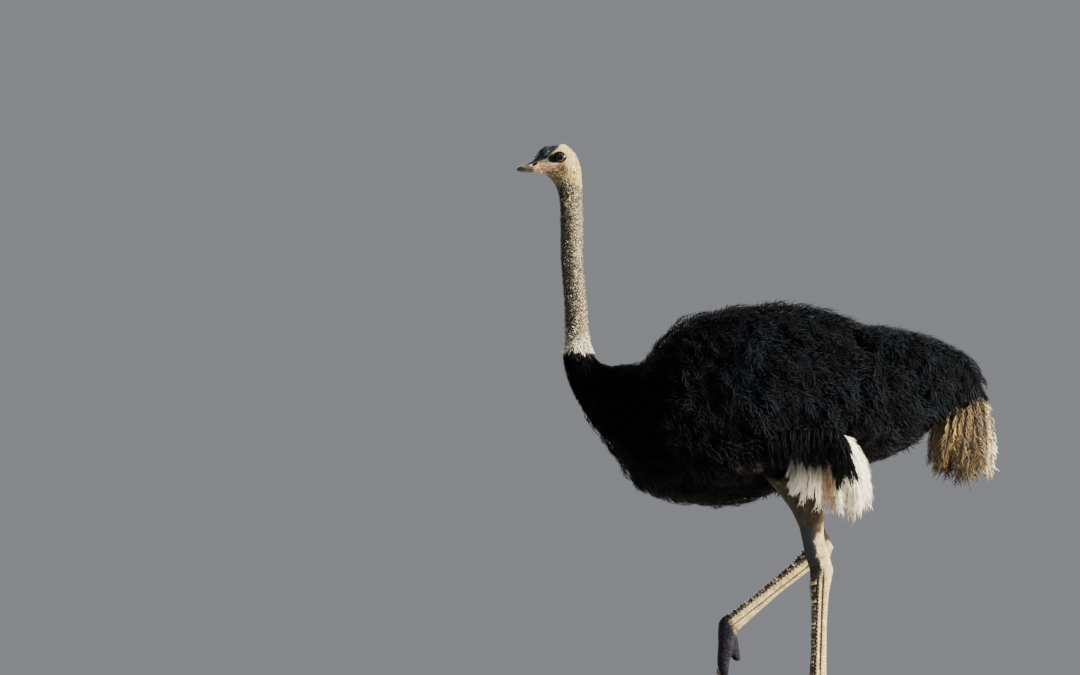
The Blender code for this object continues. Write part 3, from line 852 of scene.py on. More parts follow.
# %% Body skin, dark under the plumes, and the bare grey patch on the near flank
BARE_X, BARE_Z = -0.113, 0.829
hide = Finish("body_skin", Roughness=0.85, Specular_IOR_Level=0.05)
hide.paint(hide.lay(
    hide.ramp(hide.speckle(40.0, 3.0), (0.35, (0.0006, 0.0008, 0.0014)), (0.7, (0.0016, 0.0019, 0.0028))),
    ((0.055, 0.051, 0.032),
     hide.near(BARE_X, BARE_Z, 0.05, 0.022, 0.4) * (hide.y * -1).rise(0.0, 0.01))))
hide.relief(hide.speckle(180.0, 3.0), 0.002, 0.5)

# %% Bare legs, with a net of small scales
SCUTE_PITCH = 0.0125  # from one scute of a shank to the next

shin = Finish("leg_skin", Roughness=0.6, Specular_IOR_Level=0.02)
grain = shin.speckle(55.0, 4.0)
# The thigh's dark grey is partly its own colour and partly painted shade.
thigh = shin.ramp(grain, (0.3, (0.01, 0.0098, 0.009)), (0.55, (0.024, 0.0228, 0.018)),
                  (0.8, (0.056, 0.051, 0.039)))
shank = shin.ramp(grain, (0.28, (0.24, 0.195, 0.105)), (0.55, (0.46, 0.39, 0.225)), (0.8, (0.68, 0.6, 0.38)))
# The toes' dark bluish grey is partly their own colour and partly painted shade.
toes = shin.ramp(grain, (0.3, (0.0022, 0.0042, 0.013)), (0.6, (0.0055, 0.0095, 0.026)),
                 (0.85, (0.02, 0.027, 0.052)))
near_leg = (shin.y * -1).rise(0.0, 0.01)
# Below the drumstick the shank is pale. On the near leg the pale is kept off the front, which stays dark as
# painted shade.
low_on_leg = (shin.z + (0.105 - shin.x) * near_leg * 1.6 + shin.ragged(46.0, 0.1)).fall(0.56, 0.6)
# Painted shade, bluish, down the front of the near hock.
hock_front_shade = (shin.x + (shin.z - 0.58) * 0.25 + shin.ragged(60.0, 0.03)).fall(0.104, 0.116)
hock_front_shade = hock_front_shade * near_leg * shin.z.rise(0.44, 0.5) * shin.z.fall(0.6, 0.66)
leg_colour = shin.lay(
    thigh,
    (shank, low_on_leg),
    ((0.018, 0.024, 0.034), hock_front_shade),
    ((0.0016, 0.0018, 0.0024), (shin.z + shin.ragged(40.0, 0.04)).rise(0.765, 0.8)),
    ((0.04, 0.024, 0.016), shin.near(0.165, 0.66, 0.06, 0.08, 0.7) * 0.4))
for side, sign, band_at in (("left", -1, 0.0062), ("right", 1, 0.0125)):
    top, down, front, *_ = SHANKS[side]
    gaps = shin.x - top.x, shin.y - top.y, shin.z - top.z
    ahead, down_it = (gaps[0] * way.x + gaps[1] * way.y + gaps[2] * way.z for way in (front, down))
    this_leg = (shin.y * sign).rise(0.0, 0.01) * down_it.rise(-0.01, 0.02)
    teeth = down_it.maths("SINE", down_it * (2 * math.pi / SCUTE_PITCH)) * 0.0024
    # A dark toothed band down the front of each shank: partly the scutes' own dark edges, partly painted
    # shade on the front.
    front_scutes_and_shade = (ahead + teeth + shin.ragged(90.0, 0.004)).rise(band_at, band_at + 0.0022) * this_leg
    # Painted shade along the groove beside the bone.
    groove_shade_line = ((ahead + 0.007) * (ahead + 0.007)).fall(0.0000015, 0.000009)
    leg_colour = shin.lay(leg_colour, ((0.014, 0.01, 0.016), front_scutes_and_shade * 0.92),
                          ((0.05, 0.026, 0.012), groove_shade_line * this_leg * low_on_leg * 0.9))
at_far_foot = (shin.x + (shin.z - 0.3) * 0.6 + shin.ragged(60.0, 0.02)).fall(-0.165, -0.14)
at_near_foot = (shin.z + shin.ragged(60.0, 0.02)).fall(0.075, 0.115)
net = shin.cells(170.0, "DISTANCE_TO_EDGE")
shin.paint(shin.lay(
    leg_colour, (toes, at_far_foot.most(at_near_foot)),
    ((0.06, 0.042, 0.03), net.fall(0.02, 0.1) * (low_on_leg * 0.5 + 0.1))))
shin.relief(net.rise(0.0, 0.22) * (low_on_leg * 0.8 + 0.3) + shin.speckle(260.0, 3.0) * 0.5, 0.0016)

# %% Give each face of the skin its material


def gap_to(tree, spot):
    found, _, _, far = tree.find_nearest(Vector(spot), 0.03)
    return 9.0 if found is None else far


centres = numbers(skin.data.polygons, "center")
on_body = (centres[:, 2] < COLLAR - 0.03) | (centres[:, 0] > -0.6)
to_legs = np.array([min(gap_to(tree, c) for tree in leg_trees.values()) for c in centres])
to_body = np.array([gap_to(body_tree, c) for c in centres])
on_leg = on_body & (to_legs < 1.0) & (to_legs < to_body + 0.0005)
for finish in (face, hide, shin):
    skin.data.materials.append(finish.material)
number = np.where(on_leg, 2, np.where(on_body, 1, 0)).astype(np.int32)
skin.data.polygons.foreach_set("material_index", number)
print("faces of face and neck, body, legs:", np.bincount(number))

# %% [markdown]
# ## Feathers
#
# An ostrich's plumes have no hooks to hold their barbs together, so each one is a loose, drooping spray.
# Here a plume is a shaft with barbs to either side, every one a thin tapering blade with three sides, so
# that it is solid and still costs few faces. A handful of different plumes is enough: Geometry Nodes
# scatter them by the thousand, each turned, tilted and sized a little differently.

# %% One plume, from blades


class Spray:
    """Blades collected into one mesh, with how far along its blade each point is."""

    def __init__(self):
        self.points, self.faces, self.along = [], [], []

    def blade(self, path, width, thick, tip=0.15):
        """A three-sided blade along a path, full width near its root and pointed at its end."""
        start, last = len(self.points), len(path) - 1
        for number, point in enumerate(path[:-1]):
            ahead = (path[min(number + 1, last)] - path[max(number - 1, 0)]).normalized()
            side = ahead.cross(Vector((0, 0, 1)))
            side = side.normalized() if side.length > 1e-6 else Vector((0, 1, 0))
            share = number / last
            half = width / 2 * (1 - (1 - tip) * share**1.6)
            ridge = side.cross(ahead) * thick * (1 - 0.6 * share)
            self.points += [point - side * half, point + side * half, point + ridge]
            self.along += [share] * 3
        self.points.append(path[-1])
        self.along.append(1.0)
        for a in range(start, start + 3 * (last - 1), 3):
            self.faces += [(a + i, a + (i + 1) % 3, a + 3 + (i + 1) % 3, a + 3 + i) for i in range(3)]
        a, end = start + 3 * (last - 1), len(self.points) - 1
        self.faces += [(a + i, a + (i + 1) % 3, end) for i in range(3)]
        self.faces.append((start + 2, start + 1, start))

    def mesh(self, name):
        made = mesh_from(name, self.points, self.faces)
        keep(made, "along", self.along)
        flat = np.array([(p.x, p.y) for p in self.points])
        keep_leaf(made, (flat - flat.min(0)) / np.maximum(np.ptp(flat, axis=0), 1e-6))
        return made


def keep_leaf(mesh, flat):
    """A flat map of one plume, in a unit square."""
    keep_map(mesh, "leaf", flat[[loop.vertex_index for loop in mesh.loops]])


def plume(seed, length=0.085, barbs=12, bends=3, width=0.0032, rise=0.02, spread=0.75, curl=0.5,
          barb_length=0.5, shaft=True, shaft_share=0.72, bow=0.0, blunt=0.0):
    """A plume that runs along +X and stands off its ground along +Z."""
    chance = random.Random(seed)
    sway = chance.uniform(-0.16, 0.16)
    spray = Spray()

    def shaft_at(s):
        hump = math.sin(math.pi * min(s * 1.05, 1.0)) ** 0.9
        return Vector((length * s * (1 - 0.1 * s), length * (sway * s * s + bow * math.sin(math.pi * s)),
                       rise * hump * (1 - 0.35 * s)))

    if shaft:
        spray.blade([shaft_at(s / (bends + 1)) for s in range(bends + 2)], width * 0.8, width * 0.35)
    for number in range(barbs):
        s = shaft_share * (number + chance.random()) / barbs
        start = shaft_at(s)
        ahead = (shaft_at(s + 0.02) - start).normalized()
        side = 1 if number % 2 else -1
        angle = side * spread * chance.uniform(0.35, 1.0) * (1 - 0.55 * s * (1 - blunt))
        heading = Vector((ahead.x * math.cos(angle) - math.sin(angle) * ahead.y,
                          ahead.x * math.sin(angle) + ahead.y * math.cos(angle),
                          ahead.z + chance.uniform(-0.1, 0.25)))
        reach = length * barb_length * chance.uniform(0.7, 1.15) * (1 - 0.45 * blunt * s**3)
        twist = -side * chance.uniform(0.1, 1.0) * curl * (1 + 0.5 * blunt * s * s)
        droop = chance.uniform(-0.55, 0.25) * curl
        path, steps = [start], bends - number % 2 if bends > 2 else bends
        for _ in range(steps):
            heading = heading.normalized()
            path.append(path[-1] + heading * reach / steps)
            turned = Vector((-heading.y, heading.x, 0)) * twist * 3 / steps
            heading = heading + turned + Vector((0, 0, droop * 3 / steps))
        spray.blade(path, width * chance.uniform(0.75, 1.2), width * 0.3)
    return spray


# %% The kinds of plumes, kept where the scatter can pick them


def shelf_of(name, meshes):
    """A collection of objects outside the scene, for Geometry Nodes to pick from."""
    shelf = bpy.data.collections.new(name)
    for mesh in meshes:
        shelf.objects.link(bpy.data.objects.new(mesh.name, mesh))
    faces = [sum(len(f.vertices) - 2 for f in mesh.polygons) for mesh in meshes]
    print(name, "has", len(meshes), "kinds of", faces, "triangles")
    return shelf


def kinds(name, count, **sizes):
    """Plumes that differ only by chance."""
    return shelf_of(name, [plume(k * 7 + 3, **sizes).mesh(f"{name}_{k}") for k in range(count)])


body_plumes = kinds("body_plumes", 7, curl=0.85, spread=1.1, width=0.003, barb_length=0.41)
short_plumes = kinds("short_plumes", 4, length=0.04, barbs=7, width=0.0026, rise=0.006, spread=0.5,
                     curl=0.35, barb_length=0.6)
down_tufts = kinds("down_tufts", 5, length=0.0068, barbs=2, bends=2, width=0.0011, rise=0.0016, spread=0.9,
                   barb_length=0.9, shaft=False, shaft_share=0.3)
head_hairs = kinds("head_hairs", 4, length=0.008, barbs=3, bends=2, width=0.00075, rise=0.001, spread=0.35,
                   curl=0.35, barb_length=0.9, shaft=False, shaft_share=0.4)

# %% [markdown]
# The scatter itself is one Geometry Nodes tree, used again and again with other inputs. It spreads points
# over the guide where the mask `share` allows, reads there which way is out and which way the coat lies,
# and stands a plume on each point. Last it makes the instances real and writes the two things that the
# finish and the export need: the place of the root, and a small patch of the unwrap for each plume. A
# second tree does the same on chosen points.

# %% Plumes on points
PATCH = 0.003  # side of a plume's own patch on the unwrap


def named(tree, name, kind="FLOAT"):
    return Wire(node(tree, "GeometryNodeInputNamedAttribute", {"data_type": kind}, {"Name": name}).outputs[0])


def planted(tree, points, given):
    """Plumes on points, made real, with their roots and their patches of the unwrap."""

    def by_chance(low, high, more_seed, kind="FLOAT"):
        first, result = {"FLOAT": (2, 1), "INT": (4, 2)}[kind]
        made = node(tree, "FunctionNodeRandomValue", {"data_type": kind},
                    {first: low, first + 1: high, "Seed": given["Seed"] + more_seed})
        return Wire(made.outputs[result])

    def kept(geometry, name, value, kind, domain="INSTANCE"):
        return node(tree, "GeometryNodeStoreNamedAttribute", {"data_type": kind, "domain": domain},
                    {"Geometry": geometry, "Name": name, "Value": value})

    shelf = node(tree, "GeometryNodeCollectionInfo", None,
                 {"Collection": given["Plumes"], "Separate Children": True, "Reset Children": True})
    aim = node(tree, "FunctionNodeAxesToRotation", {"primary_axis": "Z", "secondary_axis": "X"},
               {"Primary Axis": named(tree, "out", "FLOAT_VECTOR"),
                "Secondary Axis": named(tree, "lie", "FLOAT_VECTOR")})
    turn = by_chance(given["Turn"] * -1, given["Turn"], 1)
    tilt = by_chance(given["Tilt"] * -1 - given["Lift"], given["Tilt"] - given["Lift"], 2)
    angles = node(tree, "ShaderNodeCombineXYZ", None, {0: by_chance(-0.35, 0.35, 3), 1: tilt, 2: turn})
    spin = node(tree, "FunctionNodeEulerToRotation", None, {0: angles})
    facing = node(tree, "FunctionNodeRotateRotation", {"rotation_space": "LOCAL"}, {0: aim, 1: spin})
    size = by_chance(1 - given["Unevenness"], 1 + given["Unevenness"], 4)
    stood = node(tree, "GeometryNodeInstanceOnPoints", None, {
        "Points": points, "Instance": shelf, "Pick Instance": True,
        "Instance Index": by_chance(0, 1000, 5, "INT"), "Rotation": facing,
        "Scale": size * named(tree, "size") * given["Size"]})
    place = node(tree, "GeometryNodeInputPosition")
    marked = kept(kept(stood, "root_place", place, "FLOAT_VECTOR"), "chance", by_chance(0.0, 1.0, 6), "FLOAT")
    real = node(tree, "GeometryNodeRealizeInstances", None, {"Geometry": marked})
    patch = node(tree, "ShaderNodeVectorMath", {"operation": "MULTIPLY_ADD"}, {
        0: named(tree, "leaf", "FLOAT_VECTOR"), 1: (PATCH, PATCH, 0),
        2: named(tree, "unwrap", "FLOAT_VECTOR")})
    mapped = kept(real, "OFBake", patch, "FLOAT2", "CORNER")
    finished = node(tree, "GeometryNodeSetMaterial", None, {"Geometry": mapped, "Material": given["Finish"]})
    tree.links.new(finished.outputs[0], tree.nodes.new("NodeGroupOutput").inputs[0])


# %% Two trees: one scatters plumes over a surface, one stands them on chosen points
INPUTS = (
    ("Geometry", "NodeSocketGeometry", None), ("Plumes per square metre", "NodeSocketFloat", 1000.0),
    ("Plumes", "NodeSocketCollection", None), ("Size", "NodeSocketFloat", 1.0),
    ("Unevenness", "NodeSocketFloat", 0.2), ("Turn", "NodeSocketFloat", 0.5),
    ("Tilt", "NodeSocketFloat", 0.12), ("Lift", "NodeSocketFloat", 0.0),
    ("Seed", "NodeSocketInt", 1), ("Finish", "NodeSocketMaterial", None),
)


def new_tree(name):
    """An empty tree with the inputs, and their wires by name."""
    tree = bpy.data.node_groups.new(name, "GeometryNodeTree")
    for label, kind, value in INPUTS:
        made = tree.interface.new_socket(label, in_out="INPUT", socket_type=kind)
        if value is not None:
            made.default_value = value
    tree.interface.new_socket("Geometry", in_out="OUTPUT", socket_type="NodeSocketGeometry")
    tree.is_modifier = True
    start = tree.nodes.new("NodeGroupInput")
    return tree, {item.name: Wire(item) for item in start.outputs if item.name}


scatter, given = new_tree("scatter_plumes")
planted(scatter, node(scatter, "GeometryNodeDistributePointsOnFaces", {"distribute_method": "RANDOM"}, {
    "Mesh": given["Geometry"], "Density": given["Plumes per square metre"] * named(scatter, "share"),
    "Seed": given["Seed"]}), given)
chosen, given = new_tree("stand_plumes_on_points")
planted(chosen, node(chosen, "GeometryNodeMeshToPoints", None, {"Mesh": given["Geometry"]}), given)

# %% Grow a piece of coat


def grown(name, ground, tree, finish, shelf, seed, turn, tilt, lift=0.0, unevenness=0.2, density=0.0):
    """A coat piece: the tree's result over the ground, as a plain mesh inside the frame's box."""
    made = placed(name, ground)
    change = modify(made, "NODES", node_group=tree)
    settings = {"Finish": finish.material, "Plumes": shelf, "Seed": seed, "Turn": turn, "Tilt": tilt,
                "Lift": lift, "Unevenness": unevenness, "Plumes per square metre": density}
    for item in tree.interface.items_tree:
        if item.item_type == "SOCKET" and item.in_out == "INPUT" and item.name in settings:
            change[item.identifier] = settings[item.name]
    mesh = settled(made).data
    points = np.clip(numbers(mesh.vertices, "co"), *frame_box)
    mesh.vertices.foreach_set("co", points.astype(np.float32).ravel())
    for spare in ("lie", "out", "size", "share", "unwrap", "leaf"):
        if spare in mesh.attributes:
            mesh.attributes.remove(mesh.attributes[spare])
    print(f"{name}: {sum(len(face.vertices) - 2 for face in mesh.polygons)} triangles")
    return made


# %% [markdown]
# ### Finishes of the plumes
#
# A black plume is not flat black. Its barbs shine faintly, bluish on some and brownish on others, and the
# depth between the plumes lies in shade. That shade is painted: each blade runs dark from its root to its
# tint at the tip, and the tint differs a little from plume to plume. The pale down uses the same markings as
# the skin under it.

# %% Black plumage
plumage = Finish("black_plumes", place="root_place", Roughness=0.6, Specular_IOR_Level=0.05)
along = plumage.attribute("along")
tint = plumage.ramp(
    plumage.attribute("chance"), (0.0, (0.0005, 0.0007, 0.0018)), (0.4, (0.0008, 0.0012, 0.003)),
    (0.7, (0.0014, 0.0021, 0.0044)), (0.9, (0.0026, 0.0034, 0.0056)), (1.0, (0.008, 0.0105, 0.016)))
# Painted highlight, bluish grey, on the tips of the plumes over the upper wing and back.
painted_wing_highlight = plumage.x.rise(-0.42, -0.3) * plumage.z.rise(0.84, 1.0)
plumage.paint(plumage.lay(
    # Near black at the root of each blade: painted shade between the plumes.
    (0.0003, 0.0004, 0.0008), (tint, along.rise(0.05, 0.6)),
    ((0.011, 0.0175, 0.03), plumage.speckle(11.0, 4.0).rise(0.45, 0.6) * along * painted_wing_highlight * 0.6)))

# %% Pale down of the neck and head
down = Finish("neck_down", place="root_place", Roughness=0.7)
tone = down.attribute("chance")
dark_down = down.ramp(tone, (0.0, (0.012, 0.011, 0.01)), (0.6, (0.04, 0.036, 0.03)),
                      (1.0, (0.16, 0.145, 0.115)))
pale_down = down.ramp(tone, (0.0, (0.38, 0.33, 0.2)), (0.5, (0.72, 0.65, 0.43)), (1.0, (0.92, 0.87, 0.66)))
creamy = down.ramp(tone, (0.0, (0.14, 0.085, 0.028)), (0.25, (0.52, 0.4, 0.145)), (0.6, (0.8, 0.68, 0.3)),
                   (1.0, (0.96, 0.92, 0.58)))
dark_hair = down.ramp(tone, (0.0, (0.008, 0.01, 0.018)), (0.7, (0.022, 0.032, 0.055)),
                      (1.0, (0.07, 0.105, 0.13)))
speck = tone.rise(0.5, 0.52)
down.paint(down.lay(
    dark_down,
    (pale_down, neck_dots(down)),
    ((0.9, 0.87, 0.78), down.z.rise(1.29, 1.225) * 0.7),  # collar
    (creamy, (down.z + (down.x + 0.7) * 0.8).rise(1.755, 1.8)),
    ((0.008, 0.006, 0.004), down.near(-0.732, 1.785, 0.042, 0.019, 0.7) * speck * 0.92),  # jaw
    ((0.022, 0.015, 0.007), down.near(-0.716, 1.805, 0.02, 0.017, 0.6) * (0.5 + speck * 0.45)),
    ((0.93, 0.9, 0.8), down.near(-0.708, 1.886, 0.026, 0.016, 0.6) * 0.9),  # crown
    (dark_hair, forehead(down)),
    ((0.1, 0.08, 0.06), down.near(EAR.x, EAR.z, 0.005, 0.006, 0.5) * 0.8)))

# %% White plumes of the wing
snow = Finish("white_plumes", place="root_place", Roughness=0.6)
at_x, _, at_z = snow.split(snow.own_place())
snow.paint(snow.lay(
    snow.ramp(snow.attribute("chance"), (0.0, (0.66, 0.61, 0.52)), (0.5, (0.84, 0.8, 0.7)),
              (1.0, (0.92, 0.9, 0.82))),
    ((0.26, 0.145, 0.08), at_x.rise(0.112, 0.138) * at_x.fall(0.16, 0.188) * at_z.rise(0.65, 0.7) * 0.85),
    ((0.16, 0.09, 0.045), at_x.rise(0.19, 0.212) * at_x.fall(0.245, 0.262) * at_z.fall(0.668, 0.7) * 0.7),
    ((0.42, 0.42, 0.48), at_x.fall(0.03, 0.085) * 0.65),  # shade in front
    ((0.045, 0.046, 0.052), at_z.rise(0.765, 0.83) * at_x.fall(0.14, 0.18) * 0.8)))  # painted shade under the wing

# %% Dirty tail plumes, with painted light and shade
dust_and_painted_light = Finish("tail_plumes", place="root_place", Roughness=0.7)
tail_place = dust_and_painted_light.own_place()
at_x, _, at_z = dust_and_painted_light.split(tail_place)
tan = dust_and_painted_light.ramp(dust_and_painted_light.attribute("chance"), (0.0, (0.01, 0.0055, 0.002)), (0.3, (0.05, 0.027, 0.0085)),
                (0.6, (0.19, 0.115, 0.038)), (0.86, (0.46, 0.31, 0.125)), (1.0, (0.86, 0.7, 0.38)))
locks = dust_and_painted_light.speckle(62.0, 3.0, 0.5, stretch=(1, 1, 0.16), where=tail_place)
dust_and_painted_light.paint(dust_and_painted_light.lay(
    (0.012, 0.007, 0.003),
    # Tan towards the tip is dirt; the dark root of each blade is painted shade deep in the bunch.
    (tan, dust_and_painted_light.attribute("along").rise(0.0, 0.75)),
    ((0.9, 0.8, 0.5), at_x.rise(0.665, 0.715) * 0.7),  # painted sunlight on the rear edge
    ((0.012, 0.008, 0.005), at_z.fall(0.775, 0.815) * 0.6),  # painted shade at the low edge
    ((0.014, 0.008, 0.0035), locks.fall(0.4, 0.52) * 0.85),  # shade between the locks
    ((0.03, 0.022, 0.014), at_x.fall(0.52, 0.585) * 0.6)))  # painted shade on the inner, front edge

# %% [markdown]
# ### The coat, region by region
#
# A piece of coat stays under 200,000 triangles, so the black plumage is grown in several pieces that meet
# unseen. Each gets a mask on the guide and a number of plumes; how densely they stand follows from the
# size of its ground.

# %% Masks of the regions
guide_points = body.reshape(-1, 3)
gx, gy, gz = guide_points.T
outward = out.reshape(-1, 3)[:, 2]
row = np.repeat(stations, AROUND)
black_edge = 1 - step(gz - COLLAR + (gx + 0.66) * 0.1, -0.004, 0.008) * (1 - step(gx, -0.6, -0.57))
in_leg = np.zeros(len(guide_points))
for tree in leg_trees.values():
    for number in np.nonzero((row > NECK_END + 3) & (gz < 1.05))[0]:
        spot, normal, _, _ = tree.find_nearest(Vector(guide_points[number]), 0.2)
        if spot is not None and (Vector(guide_points[number]) - spot).dot(normal) < 0.004:
            in_leg[number] = 1.0
bare_flank = 1 - step(np.hypot((gx - BARE_X) / 0.05, (gz - BARE_Z) / 0.024), 0.8, 1.1)
black_ground = black_edge * (row > HEAD_END) * (1 - in_leg) * (1 - bare_flank)
long_plumes = step(row, NECK_END + 2.2, NECK_END + 4.0)


def grow_region(name, share, count, finish, shelf, seed, turn, tilt, lift, size):
    """Plumes over the guide where `share` is, as many as `count`."""
    ground = guide_mesh.copy()
    keep(ground, "share", share)
    keep(ground, "size", size)
    corners = [face.vertices[0] for face in ground.polygons]
    covered = float((numbers(ground.polygons, "area", 1) * share[corners]).sum())
    return grown(name, ground, scatter, finish, shelf, seed, turn, tilt, lift, density=count / covered)


# %% Black plumage over neck foot, breast, back, flanks and rump
SIZE_ROWS, SIZES = [13, 14, 16, 17, 19, 21, 26, 28, 29], [0.5, 0.6, 0.8, 0.62, 0.78, 1.0, 1.0, 0.66, 0.5]
plume_size = np.interp(row, SIZE_ROWS, SIZES)
plume_size = plume_size * np.clip(1 + 0.16 * grow.reshape(-1), 0.7, 1.35)
under = step(-outward, 0.55, 0.85)
plume_size = plume_size * (1 - 0.45 * under) * (1 - 0.12 * step(np.abs(gy), 0.262, 0.282))
BREAST_END, RUMP_START = 21.3, 24.3  # rows where one region meets the next
fore = 1 - step(row, BREAST_END - 0.1, BREAST_END + 0.1)
aft = step(row, RUMP_START - 0.1, RUMP_START + 0.1)
far_half = step(gy, -0.01, 0.01)
black_pieces = [grow_region("neck_foot_plumes", black_ground * (1 - long_plumes), 880, plumage, short_plumes,
                            11, 0.3, 0.05, 0.0, plume_size * 1.2)]
for label, half_mask, count, more_seed in (("near", 1 - far_half, 960, 0), ("far", far_half, 560, 1)):
    for part, mask, seed in (("breast", fore, 21), ("flank", (1 - fore) * (1 - aft), 31), ("rump", aft, 41)):
        black_pieces.append(grow_region(
            f"{label}_{part}_plumes", black_ground * long_plumes * half_mask * mask * (1 + 0.3 * under),
            count, plumage, body_plumes, seed + more_seed, 0.8, 0.17, 0.04, plume_size))

# %% Down on the neck
on_neck = (1 - black_edge) * step(row, HEAD_END - 3.0, HEAD_END - 1.5) * (row < NECK_END + 2)
neck_down = grow_region("neck_down_tufts", on_neck, 5600, down, down_tufts, 51, 0.7, 0.25, 0.1,
                        np.interp(row, [6, 9, 11.6, 12.3, 13.2], [0.8, 0.85, 1.0, 1.5, 3.2]))

# %% Hair on the head: none on the lids, the gape, the horn and the ear, and long on the forehead
past_lid = np.hypot(gx - EYE.x, gz - EYE.z) - almond(np.arctan2(gz - EYE.z, gx - EYE.x))
slope = gz - 1.835 - np.maximum((gx + 0.769) * 0.4, (gx + 0.769) * 0.92)
shield = step(slope, -0.004, 0.002) * (1 - step(gx - (gz - 1.8824) * 0.64, -0.7275, -0.7205))
gape = step(-gx, 0.727, 0.733) * step(gz, MOUTH - 0.008, MOUTH - 0.004) * (1 - step(gz, 1.822, 1.826))
haired = (row < HEAD_END) * np.maximum(step(row, 1.0, 1.8), step(row, 0.05, 0.3) * step(outward, 0.2, 0.5))
haired = haired * np.where(np.abs(gy) > 0.012, step(past_lid, 0.0015, 0.005), 1.0)
haired = haired * (1 - 0.35 * shield) * (1 - gape) * step(np.hypot(gx - EAR.x, gz - EAR.z), 0.0035, 0.0055)
hair_size = np.interp(row, [2, 4, 6, 8], [0.55, 0.8, 0.95, 1.0])
hair_size = hair_size * (1 + 2.6 * shield * step(-gx, 0.755, 0.775))
hair_size = hair_size * (1 + 0.4 * bump(gx + 0.712, 0.008) * step(gz, 1.872, 1.88))
head_hair = grow_region("head_hair_tufts", haired, 3700, down, head_hairs, 61, 0.45, 0.14, 0.1, hair_size)

# %% [markdown]
# ## Camera, light and floor
#
# The camera looks at the bird's left side from far off, so that near and far leg keep their sizes. A warm
# lamp stands low behind the bird, and two large soft ones fill the front and the far side.

# %% Camera
LENS, SENSOR, VIEW_WIDTH = 254.0, 36.0, 3.541
camera = placed("camera", bpy.data.cameras.new("camera"))
camera.data.lens = LENS
camera.data.sensor_width = SENSOR
camera.data.clip_end = 200
camera.location = (-0.787, -VIEW_WIDTH * LENS / SENSOR, 1.25)
camera.rotation_euler = (math.pi / 2, 0, 0)
bpy.context.scene.camera = camera

# %% Light and floor


def lamp(name, place, target, size, watts, colour):
    made = placed(name, bpy.data.lights.new(name, "AREA"))
    made.data.size = size
    made.data.energy = watts
    made.data.color = colour
    made.location = place
    made.rotation_euler = (Vector(target) - Vector(place)).to_track_quat("-Z", "Y").to_euler()


lamp("low_sun", (6.2, -1.9, 3.4), (-0.2, 0, 1.2), 1.2, 4600, (1.0, 0.88, 0.66))
lamp("soft_front", (-2.2, -4.6, 3.4), (-0.1, 0, 1.1), 3.0, 45, (0.88, 0.94, 1.0))
lamp("far_fill", (-1.5, 4.5, 3.5), (0, 0, 1.0), 3.0, 120, (1.0, 0.98, 0.95))
sky = bpy.data.worlds.new("studio")
bpy.context.scene.world = sky
sky.use_nodes = True
sky.node_tree.nodes["Background"].inputs[0].default_value = (0.8, 0.83, 0.88, 1)
sky.node_tree.nodes["Background"].inputs[1].default_value = 0.3

pale = Finish("pale_floor", Roughness=0.8)
pale.paint(pale.ramp(pale.speckle(3.0, 3.0), (0.3, (0.6, 0.59, 0.57)), (0.7, (0.66, 0.65, 0.63))))
FLOOR_RADIUS, CORNERS = 2.6, 96
turns = [2 * math.pi * k / CORNERS for k in range(CORNERS)]
disc = [(FLOOR_RADIUS * math.cos(turn), FLOOR_RADIUS * math.sin(turn), 0) for turn in turns]
placed("floor", mesh_from("floor", disc, [range(CORNERS)]), pale)

# %% [markdown]
# ## Eyes and lids
#
# An ostrich's eye is almost as large as a billiard ball, dark brown, and so glossy that it mirrors the
# whole sky. The ball is a slightly flat sphere with a clear bulge. Round it run the margins of the lids,
# thin dark rolls of skin that hide the edge of the opening, and on the upper one stands a row of bristles
# that pass for lashes.

# %% The ball of the eye
glass = Finish("eye_glass", Roughness=0.2, Specular_IOR_Level=0.22, Coat_Weight=0.03, Coat_Roughness=0.06,
               IOR=1.4)
off_x, off_z = glass.x - EYE.x, glass.z - EYE.z
from_middle = off_x * off_x + off_z * off_z
from_middle = from_middle.maths("SQRT", from_middle)
rays = glass.speckle(420.0, 3.0, stretch=(1, 0.2, 1))
iris = glass.ramp(rays, (0.3, (0.0055, 0.004, 0.003)), (0.7, (0.018, 0.012, 0.008)))
# A pale grey-green ring on the ball, broken by the iris's rays: a painted highlight.
painted_ring_highlight = from_middle.rise(0.0092, 0.0102) * from_middle.fall(0.0112, 0.0124)
glass.paint(glass.lay(
    (0.002, 0.002, 0.002), (iris, from_middle.rise(0.008, 0.0092)),
    ((0.07, 0.072, 0.055), painted_ring_highlight * rays),
    ((0.004, 0.0035, 0.0035), from_middle.rise(0.0142, 0.0165))))


def eyeball(name, side):
    bm = bmesh.new()
    bmesh.ops.create_uvsphere(bm, u_segments=48, v_segments=28, radius=EYE_RADIUS)
    bmesh.ops.scale(bm, verts=bm.verts, vec=(1, 1, EYE_DEPTH / EYE_RADIUS))
    bmesh.ops.rotate(bm, verts=bm.verts, matrix=Matrix.Rotation(math.pi / 2, 3, "X"))
    bmesh.ops.translate(bm, verts=bm.verts, vec=(EYE.x, side * EYE_OUT, EYE.z))
    mesh = bpy.data.meshes.new(name)
    bm.to_mesh(mesh)
    bm.free()
    mesh.shade_smooth()
    return placed(name, mesh, glass)


eyes = {name: eyeball(f"{name}_eye_ball", side) for name, side in SIDES}

# %% Margins of the lids
skin_tree = surface_of(skin.data)
rim = Finish("lid_margin", Roughness=0.35)
wet = rim.ramp(rim.speckle(600.0, 2.0), (0.35, (0.008, 0.007, 0.007)), (0.7, (0.028, 0.023, 0.02)))
rim.paint(rim.lay(wet, ((0.16, 0.14, 0.11), rim.x.rise(EYE.x + 0.01, EYE.x + 0.018) * 0.4)))
rim.relief(rim.speckle(900.0, 2.0), 0.0004)


def lid_edge(turn, side, further):
    """How far the opening's edge is from the eye's middle, and where the skin is just outside it."""
    gap = float(almond(np.array(turn)))
    x, z = (EYE.x + (gap + further) * math.cos(turn), EYE.z + (gap + further) * math.sin(turn))
    hit = skin_tree.ray_cast(Vector((x, side * 0.2, z)), Vector((0, -side, 0)), 0.4)[0]
    return gap, abs(hit.y) if hit else HEAD_HALF


